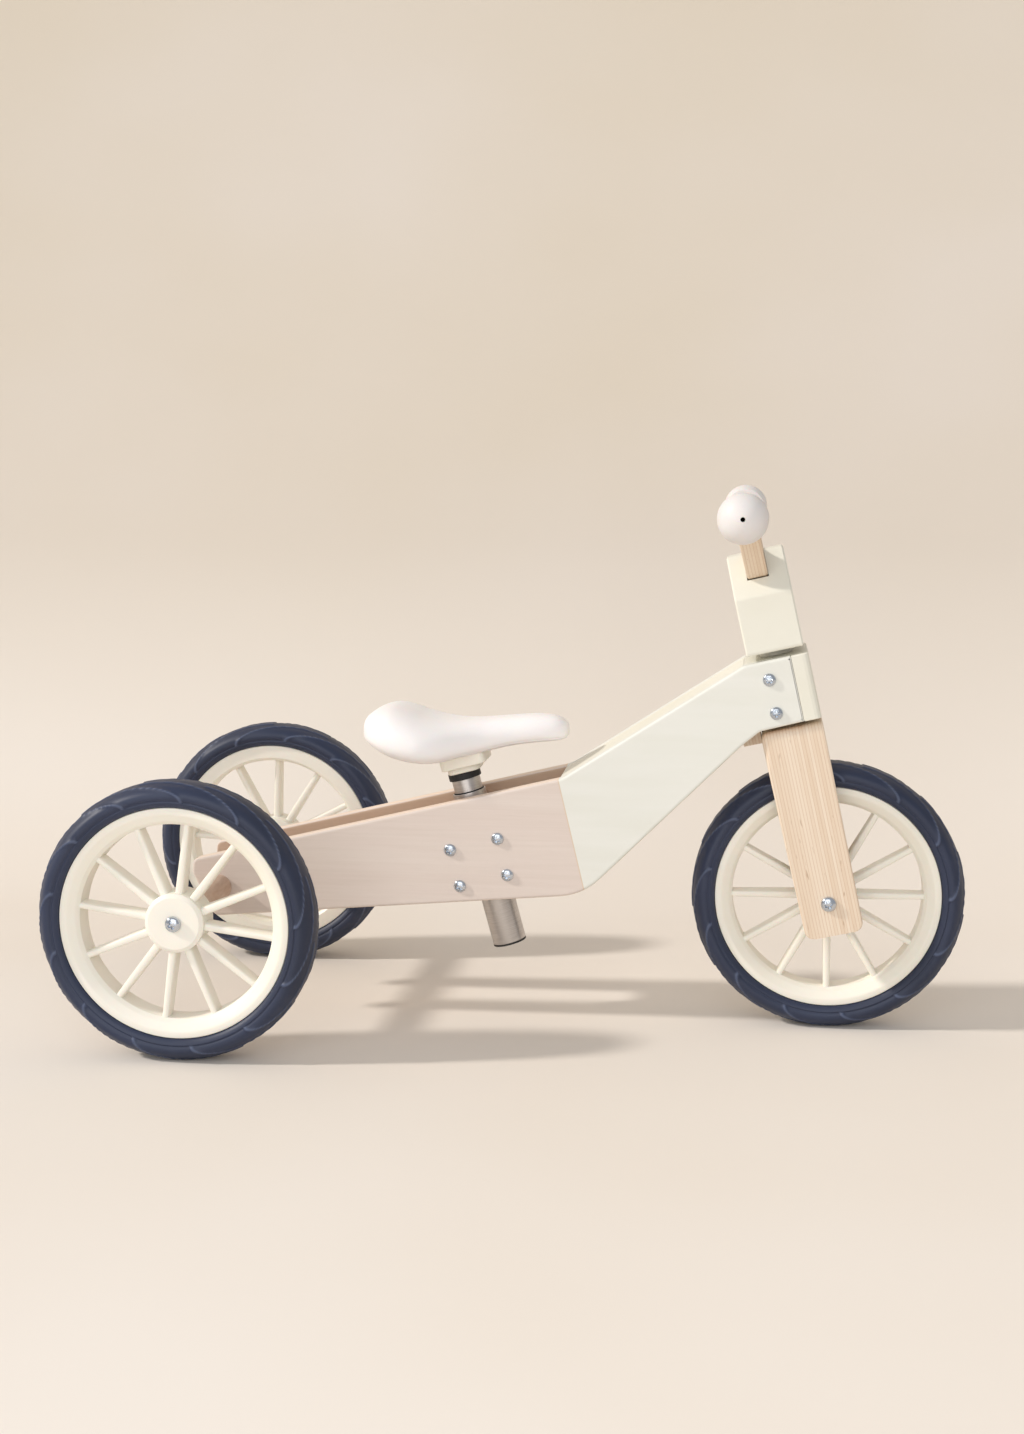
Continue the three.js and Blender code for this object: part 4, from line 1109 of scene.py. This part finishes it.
@dataclass
class Wheel:
    """A spoked wheel about Y. `facing` is 1 or -1: the side that its outer face looks to."""

    prefix: str
    body: str
    facing: int
    phase: float             # degrees of the first spoke above +X
    rim_radius: float = 103.4
    rim_half: float = 16.0
    seat_radius: float = 98.5
    lip_radius: float = 97.5
    well_radius: float = 87.5
    well_outer: float = 8.0
    well_inner: float = -13.0
    hub_radius: float = 26.5
    hub_outer: float = 15.0
    hub_inner: float = -18.0
    hub_wall: float = 3.5
    spokes: int = 12
    tyre_side: tuple[tuple[float, float], ...] = (
        (98.9, 10.7), (103.8, 11.7), (103.8, 16.0), (104.4, 17.6), (106.0, 18.9), (107.9, 19.9),
        (108.8, 20.0), (109.8, 19.6), (112.0, 20.7), (115.5, 20.6), (118.8, 18.4), (121.8, 14.2),
        (123.8, 9.0), (124.7, 4.5), (125.0, 0.0),
    )
    tread: Tread = Tread()
    shoulder: tuple[float, float] = (108.9, 20.4)   # radius and height where the tread begins
    bearing: tuple[float, float, float, float] = (11.0, 4.2, -3.5, 3.5)

    @property
    def axes(self) -> Axes:
        """The frame at the wheel's centre, whose z is its outer face's direction."""
        return sideways(middle_of(f"{self.prefix}_tyre"), self.facing)

    def tyre(self) -> Grid:
        """Returns the tyre: its profile turned about the axle, with the tread's arcs raised.

        The profile is a smooth curve through the points of one side and their mirror image. The
        tread's relief is added along the profile's own normal, on both sidewalls, and is also
        each point's edge value, by which the foam's finish paints a highlight on the ridges.
        """
        side = np.array(self.tyre_side)
        profile = np.vstack([side * [1, -1], side[-2::-1]])
        corners = 3
        at = np.linspace(0, len(profile) - 2 * corners - 1, 74)
        smooth = spline(profile[corners:-corners], at)
        full = np.vstack([profile[:corners], smooth, profile[-corners:]])
        direction = unit_rows(np.roll(full, -1, axis=0) - np.roll(full, 1, axis=0))
        normal = np.stack([direction[:, 1], -direction[:, 0]], -1)
        out = full[:, 0] - self.shoulder[0]
        climb = 0.62 * out + 0.85 * (self.shoulder[1] - np.abs(full[:, 1]))
        climb = np.where(out > 0, climb, BELOW_TREAD)
        angle = np.linspace(0, 2 * np.pi, 720, endpoint=False)
        relief = self.tread.relief(angle[None], climb[:, None])
        radius = full[:, :1] + normal[:, :1] * relief
        height = full[:, 1:] + normal[:, 1:] * relief
        points = np.stack([radius * np.cos(angle), radius * np.sin(angle), height], -1)
        points, faces, _ = sheet_of(self.axes.place(points), loop_rows=True)
        return points, faces, relief.reshape(-1) / self.tread.height

    def rim(self) -> Grid:
        """Returns the rim: its eased profile turned about the axle, dished on its outer face."""
        seat, rim, half, well = self.seat_radius, self.rim_radius, self.rim_half, self.well_radius
        corners = np.array([
            [seat, 11], [rim, 12], [rim, half], [self.lip_radius, half],
            [well + 3, self.well_outer + 3.5], [well, self.well_outer], [well, self.well_inner],
            [well + 3, -half], [rim, -half], [rim, -12], [seat, -11]])
        radii = np.array([0.3, 0.3, 0.9, 5, 3, 1, 0.8, 1, 0.9, 0.3, 0.3])
        return turned(eased(corners, radii), self.axes, 192)

    def hub(self) -> Grid:
        """Returns the hub: a cup that holds both bearings, with an eye for the axle."""
        bore = 11.15
        wall = self.hub_outer - self.hub_wall
        corners = np.array([
            [bore, self.hub_inner], [self.hub_radius, self.hub_inner],
            [self.hub_radius, self.hub_outer - 2.6], [self.hub_radius - 3.4, self.hub_outer],
            [6.2, self.hub_outer], [6.2, wall], [bore, wall]])
        radii = np.array([0.5, 1.5, 0.9, 0.9, 0.6, 0.2, 0.2])
        return turned(eased(corners, radii), self.axes)

    def spoke_grids(self) -> list[Grid]:
        """Returns the spokes.

        A section is a superellipse: cosine and sine to the power 0.5, times the half thickness
        and the half depth, which go evenly from hub to rim.
        """
        radius = np.linspace(22, self.seat_radius - 1, 14)[:, None]
        share = (radius - radius[0]) / (radius[-1] - radius[0])
        angle = np.linspace(0, 2 * np.pi, 28, endpoint=False)
        cosine, sine = np.cos(angle), np.sin(angle)
        across_it = (4.0 - 1.1 * share) * np.sign(cosine) * np.abs(cosine) ** 0.5
        deep = (9.0 - 0.5 * share) * np.sign(sine) * np.abs(sine) ** 0.5
        grids = []
        for k in range(self.spokes):
            turn = math.radians(self.phase + 360 / self.spokes * k)
            out = np.array([math.cos(turn), 0, math.sin(turn)])
            side = np.array([-math.sin(turn), 0, math.cos(turn)])
            points = radius[..., None] * out + across_it[..., None] * side
            points = points + deep[..., None] * np.array([0.0, 1.0, 0.0])
            grids.append(sheet_of(self.axes.origin + points))
        return grids

    def build(self) -> None:
        """Makes the tyre, the rim with its hub and spokes, and the bearings."""
        prefix = self.prefix
        dress(make_piece(f"{prefix}_foam", [self.tyre()]), self.body, Slot.FOAM_TYRE, FOAM,
              f"{prefix}_tyre")
        grids = [self.rim(), self.hub(), *self.spoke_grids()]
        dress(make_piece(f"{prefix}_spider", grids), self.body, Slot.CREAM_PLASTIC, PLASTIC,
              f"{prefix}_rim")
        for place in ("outer", "inner"):
            node = f"{prefix}_bearing_{place}"
            axes = sideways(middle_of(node), self.facing)
            grid = ring(*self.bearing, axes)
            dress(make_piece(f"{node}_race", [grid]), self.body, Slot.ZINC, BRIGHT_ZINC, node)


@dataclass
class Axle:
    """Sizes that the bolts and spacers of all three wheels share."""

    bolt: float = 4.0
    eye: float = 4.3             # bore of a spacer
    neck: float = 5.6            # of what passes through the hub's outer wall
    spacer_neck: float = 6.5     # of a spacer, against the inner bearing
    spacer_step: float = 1.5     # length of that neck outside the hub
    wall: float = 11.5           # inside of the hub's outer wall, from the middle plane
    hub_outer: float = 15.0
    hub_inner: float = 18.0
    spacer_ease: float = 0.4
    head: DomedHead = DomedHead(7.0, 4.6, 1.2, slot_reach=3.6)


@dataclass
class RearAxle(Axle):
    """A bolt into each end of the beam, and the stepped collar behind each rear wheel."""

    bolt_length: float = 55.0
    head_gap: float = 0.6
    collar_radius: float = 17.0
    collar_depth: float = 4.5

    def build(self) -> None:
        """Makes both sides."""
        face, tip, low = self.hub_outer + self.head_gap, -self.bolt_length, -self.hub_inner
        back, step = low - self.collar_depth, low - self.spacer_step
        shank = np.array([[0, tip], [self.bolt, tip], [self.bolt, self.wall],
                          [self.neck, self.wall], [self.neck, face], [0, face]])
        collar = np.array([[self.eye, back], [self.collar_radius, back],
                           [self.collar_radius, step], [self.spacer_neck, step],
                           [self.spacer_neck, low], [self.eye, low]])
        for side, facing in (("right", -1), ("left", 1)):
            axes = sideways(middle_of(f"rear_{side}_tyre"), facing)
            top = Axes(axes.origin + axes.z * face, axes.x, axes.y, axes.z)
            grids = [turned(shank, axes, 48, loop=False), self.head.grid(top)]
            dress(make_piece(f"axle_bolt_{side}", grids), "frame", Slot.ZINC, BRIGHT_ZINC,
                  f"rear_axle_bolt_{side}")
            grid = turned(eased(collar, self.spacer_ease), axes)
            dress(make_piece(f"axle_collar_{side}", [grid]), "frame", Slot.CREAM_PLASTIC,
                  PLASTIC, f"rear_axle_spacer_{side}")


@dataclass
class FrontAxle(Axle):
    """The bolt through both fork legs, its nut, and the spacers beside the hub."""

    leg_face: float = 42.0
    leg_inside: float = 26.7
    spacer_radius: float = 11.0
    nut: DomedHead = DomedHead(7.0, 4.6, 1.6, slot_reach=3.6, turn=1.1)

    def build(self) -> None:
        """Makes the bolt, the nut's cap and the two spacers."""
        axes, end = sideways(STEERING.origin, 1), self.leg_face
        shank = np.array([[0, -end], [self.bolt, -end], [self.bolt, end + 2], [0, end + 2]])
        near = sideways(STEERING.origin - np.array([0, end, 0]), -1)
        grids = [turned(shank, axes, 48, loop=False), self.head.grid(near)]
        dress(make_piece("front_bolt", grids), "steering", Slot.ZINC, BRIGHT_ZINC,
              "front_axle_bolt")
        far = sideways(STEERING.origin + np.array([0, end, 0]), 1)
        dress(make_piece("front_nut", [self.nut.grid(far)]), "steering", Slot.ZINC, BRIGHT_ZINC,
              "front_axle_nut")
        radius, inside, low = self.spacer_radius, self.leg_inside, self.hub_inner
        step, face = low + self.spacer_step, -self.hub_outer - self.spacer_step
        left = np.array([[self.eye, low], [self.spacer_neck, low], [self.spacer_neck, step],
                         [radius, step], [radius, inside], [self.eye, inside]])
        right = np.array([[self.eye, -inside], [radius, -inside], [radius, face],
                          [self.neck, face], [self.neck, -self.wall], [self.eye, -self.wall]])
        for side, corners in (("left", left), ("right", right)):
            grid = turned(eased(corners, self.spacer_ease), axes)
            dress(make_piece(f"front_collar_{side}", [grid]), "steering", Slot.CREAM_PLASTIC,
                  PLASTIC, f"front_axle_spacer_{side}")


# ---- fork, bar and grips ------------------------------------------------------------------


@dataclass
class Fork:
    """A laminated U: two legs and a crown, deeper at the top than at the foot."""

    half_width: float = 42.0
    half_gap: float = 27.0
    bottom: float = -30.0
    crown: float = 139.0
    top: float = 165.0
    depth_top: float = 28.5
    depth_bottom: float = 26.5
    foot_round: float = 8.0
    shoulder_round: float = 7.0
    bend_from: float = 130.0     # height where the legs begin to turn into the crown
    edge: float = 1.6

    def half_path(self, side: float, level: float, corner: float) -> np.ndarray:
        """Returns one edge of the U from the right foot to the middle of the crown.

        Args:
            side: the edge's distance from the middle plane along the leg.
            level: its height along the crown.
            corner: the radius between the two.

        Returns:
            An (n, 2) path in (y, z), whose rows match between the two edges. Its turn is
            sampled evenly along its length.
        """
        rise = 1 - np.cos(np.linspace(0, np.pi / 2, 10))
        foot = self.bottom + self.foot_round * rise
        leg = np.concatenate([foot, np.linspace(foot[-1], self.bend_from, 10)[1:-1]])
        straight = np.stack([0 * leg - side, leg], -1)
        inner_end = self.crown - self.bend_from - self.half_gap
        arc = bezier([[-side, level - corner], [-side, level - 0.45 * corner],
                      [0.45 * corner - side, level], [corner - side, level]], 12)
        bend = np.vstack([[[-side, self.bend_from]], arc, [[inner_end, level]]])
        length = np.append(0, np.cumsum(np.linalg.norm(np.diff(bend, axis=0), axis=1)))
        at = np.linspace(0, length[-1], 24)
        bend = np.stack([np.interp(at, length, bend[:, k]) for k in range(2)], -1)
        crown = np.stack([np.linspace(inner_end, 0, 5)[1:], np.full(4, level)], -1)
        return np.vstack([straight, bend, crown])

    def depths(self, height: np.ndarray) -> np.ndarray:
        """Returns the half depth at each height: an even taper, rounded off at the foot."""
        share = (height - self.bottom) / (self.top - self.bottom)
        depth = self.depth_bottom + (self.depth_top - self.depth_bottom) * share
        into = np.clip(1 - (height - self.bottom) / self.foot_round, 0, 1)
        return depth - self.foot_round * (1 - np.sqrt(1 - into**2))

    def build(self) -> None:
        """Makes the whole U from one half and its mirror image."""
        inner = self.half_path(self.half_gap, self.crown, self.crown - self.bend_from)
        outer = self.half_path(self.half_width, self.top, self.shoulder_round)
        inner = np.vstack([inner, (inner * [-1, 1])[-2::-1]])
        outer = np.vstack([outer, (outer * [-1, 1])[-2::-1]])
        share = np.clip((outer[:, 1] - self.bend_from) / (self.top - self.bend_from - 8), 0, 1)
        back = self.edge + (self.shoulder_round - self.edge) * share
        depth = self.depths((inner[:, 1] + outer[:, 1]) / 2)
        grid = plank(inner, outer, depth, STEERING, self.edge, back_ease=back)
        dress(make_piece("fork_laminated", [grid]), "steering", Slot.LAMINATED_WOOD,
              FORK_LAMINATE, "fork")


@dataclass
class Handlebar:
    """A laminated board that lies low in the stem and sweeps up to the grips on both sides."""

    low: float = 303.0
    grip_height: float = 362.6
    thickness: float = 19.0
    setback: float = -1.5
    flat: float = 24.0
    arm: float = 94.0
    height: float = 26.0
    half_arm: float = 10.5
    lower_pull: tuple[float, float] = (56.0, 58.0)   # y of the lower curve's two handles
    upper_pull: tuple[float, float] = (44.0, 48.0)
    tail: float = 3.0        # length that runs on into each grip
    edge: float = 2.0

    def edges(self) -> tuple[np.ndarray, np.ndarray]:
        """Returns the lower and the upper edge from the middle out to the left arm's end."""
        under = self.grip_height - self.half_arm
        over = self.grip_height + self.half_arm
        top = self.low + self.height
        lower = np.vstack([
            np.stack([np.linspace(0, self.flat, 6)[:-1], np.full(5, self.low)], -1),
            bezier([[self.flat, self.low], [self.lower_pull[0], self.low],
                    [self.lower_pull[1], under], [self.arm, under]], 40),
            [[self.arm + self.tail, under]]])
        upper = np.vstack([
            np.stack([np.linspace(0, self.flat - 6, 6)[:-1], np.full(5, top)], -1),
            bezier([[self.flat - 6, top], [self.upper_pull[0], top],
                    [self.upper_pull[1], over], [self.arm, over]], 40),
            [[self.arm + self.tail, over]]])
        return lower, upper

    def build(self) -> None:
        """Makes the whole board from one half and its mirror image."""
        lower, upper = self.edges()
        lower = np.vstack([(lower * [-1, 1])[:0:-1], lower])
        upper = np.vstack([(upper * [-1, 1])[:0:-1], upper])
        depth = np.full(len(lower), self.thickness / 2)
        grid = plank(lower, upper, depth, STEERING, self.edge, self.setback)
        dress(make_piece("bar_laminated", [grid]), "steering", Slot.LAMINATED_WOOD,
              BAR_LAMINATE, "handlebar")


@dataclass
class Grip:
    """A soft grip with a flange inside, a tapered barrel, and a ball with a vent at its end."""

    side: str
    facing: int
    height: float = 362.6
    setback: float = -1.5
    start: float = 95.0
    bore: float = 9.7
    flange: float = 19.0
    barrel: float = 15.2
    ball: float = 21.2
    ball_at: float = 180.0
    vent: float = 2.0

    def profile(self) -> np.ndarray:
        """Returns the grip's (radius, height) profile, bottom inside to bottom outside and up."""
        start, ball = self.start, self.ball
        from_neck, to_vent = math.radians(-48), math.acos(self.vent / ball)
        angle = np.linspace(from_neck, to_vent, 40)
        sphere = np.stack([ball * np.cos(angle), self.ball_at + ball * np.sin(angle)], -1)
        neck = bezier([[self.barrel, self.ball_at - 24], [self.barrel, self.ball_at - 19],
                       [sphere[0, 0] - 1.4, sphere[0, 1] - 1.6], sphere[0]], 10)
        foot = eased(np.array([
            [self.bore, start], [self.flange, start], [self.flange, start + 4.5],
            [self.barrel, start + 8], [self.barrel, start + 14], [self.bore, start + 14]]),
            np.array([0.4, 1.6, 1.6, 2.0, 0, 0]), 5)
        foot = foot[:-2]
        end = [[self.vent, self.ball_at + 8], [self.bore, self.ball_at + 6]]
        return np.vstack([foot, neck, sphere[1:], end])

    def build(self) -> None:
        """Makes the grip."""
        centre = STEERING.place(np.array([self.setback, 0.0, self.height]))
        grid = turned(self.profile(), sideways(centre, self.facing), 96)
        # the grip takes the darker copy of the white rubber, which is painted shade
        dress(make_piece(f"grip_skin_{self.side}", [grid]), "steering", Slot.WHITE_RUBBER,
              SHADED_GRIP_RUBBER, f"grip_{self.side}")


# ---- studio -------------------------------------------------------------------------------


@dataclass
class Studio:
    """The pale sweep, the lights and the camera."""

    sweep_start: float = 330.0
    sweep_radius: float = 420.0
    camera_at: tuple[float, float, float] = (213.9, -1680.5, 532.0)
    camera_aim: tuple[float, float, float] = (-0.1311, 0.9809, -0.1437)
    roll: float = -0.12          # degrees
    lens: float = 45.73          # mm, on a sensor 36 mm wide
    reach: float = 4000.0        # of the floor to each side, and towards the camera
    wall_top: float = 3500.0

    def sweep(self) -> None:
        """Makes the floor that curves up into the wall: flat, then a quarter circle, then up."""
        angle = np.linspace(0, np.pi / 2, 24)
        bend_y = self.sweep_start + self.sweep_radius * np.sin(angle)
        bend_z = self.sweep_radius * (1 - np.cos(angle))
        y = np.concatenate([[-self.reach], bend_y, [bend_y[-1]]])
        z = np.concatenate([[0], bend_z, [self.wall_top]])
        x = np.array([-self.reach, self.reach])
        points = np.stack([x + 0 * y[:, None], y[:, None] + 0 * x, z[:, None] + 0 * x], -1) * MM
        index = np.arange(points.size // 3).reshape(len(y), 2)
        quads = np.stack([index[:-1, 0], index[:-1, 1], index[1:, 1], index[1:, 0]], -1)
        mesh = bpy.data.meshes.new("sweep")
        mesh.from_pydata(points.reshape(-1, 3), [], quads.tolist())
        mesh.polygons.foreach_set("use_smooth", np.ones(len(mesh.polygons), bool))
        piece = bpy.data.objects.new("sweep", mesh)
        bpy.context.scene.collection.objects.link(piece)
        mesh.materials.append(PAPER.material())

    def light(self, name: str, kind: str, energy: float, colour: str, aim: tuple,
              at: tuple = (0.0, 0.0, 2.0), size: float = 1.0) -> None:
        """Adds a light at a point in metres, looking along aim.

        Args:
            name: the light's name.
            kind: SUN or AREA.
            energy: its strength.
            colour: its hex colour.
            aim: the direction that its light goes.
            at: its place.
            size: an area light's side in metres, or a sun's angle in radians.
        """
        data = bpy.data.lights.new(name, kind)
        data.energy = energy
        data.color = linear(colour)[:3]
        if kind == "SUN":
            data.angle = size
        else:
            data.size = size
        lamp = bpy.data.objects.new(name, data)
        lamp.location = at
        lamp.rotation_euler = Vector(aim).to_track_quat("-Z", "Y").to_euler()
        bpy.context.scene.collection.objects.link(lamp)

    def camera(self) -> None:
        """Adds the camera."""
        data = bpy.data.cameras.new("camera")
        data.lens = self.lens
        data.sensor_width = 36
        camera = bpy.data.objects.new("camera", data)
        camera.location = Vector(self.camera_at) * MM
        turn = Vector(self.camera_aim).to_track_quat("-Z", "Y").to_matrix().to_4x4()
        camera.rotation_euler = turn.to_euler()
        camera.rotation_euler.rotate_axis("Z", math.radians(self.roll))
        bpy.context.scene.collection.objects.link(camera)
        bpy.context.scene.camera = camera

    def build(self) -> None:
        """Sets up the whole studio."""
        bpy.context.scene.view_settings.view_transform = "Standard"
        self.sweep()
        self.light("key", "SUN", 2.05, "#fff9f2", (0.80, 0.22, -0.56), size=0.08)
        self.light("front", "AREA", 26, "#ffffff", (0.1, 1.0, -0.35), (-0.2, -2.4, 1.1), 2.4)
        world = bpy.data.worlds.new("studio")
        world.use_nodes = True
        sky = world.node_tree.nodes["Background"]
        sky.inputs["Color"].default_value = linear("#fbfcff")
        sky.inputs["Strength"].default_value = 0.47
        bpy.context.scene.world = world
        self.camera()


def main() -> None:
    """Builds the studio and then the bike, group by group."""
    logging.basicConfig(level=logging.INFO, format="%(name)s %(message)s")
    groups = [
        Studio(), Panels(), AxleBeam(), Blocks(), SeatTube(), Bracket(), Saddle(),
        Wheel("rear_right", "rear_wheel_right", -1, 22.0),
        Wheel("rear_left", "rear_wheel_left", 1, 27.5),
        Wheel("front", "front_wheel", -1, 0.7),
        RearAxle(), FrontAxle(), Fork(), Handlebar(), Grip("right", -1), Grip("left", 1),
        Fasteners(),
    ]
    for group in groups:
        LOG.info("building %s", type(group).__name__)
        group.build()


if __name__ == "__main__":
    main()
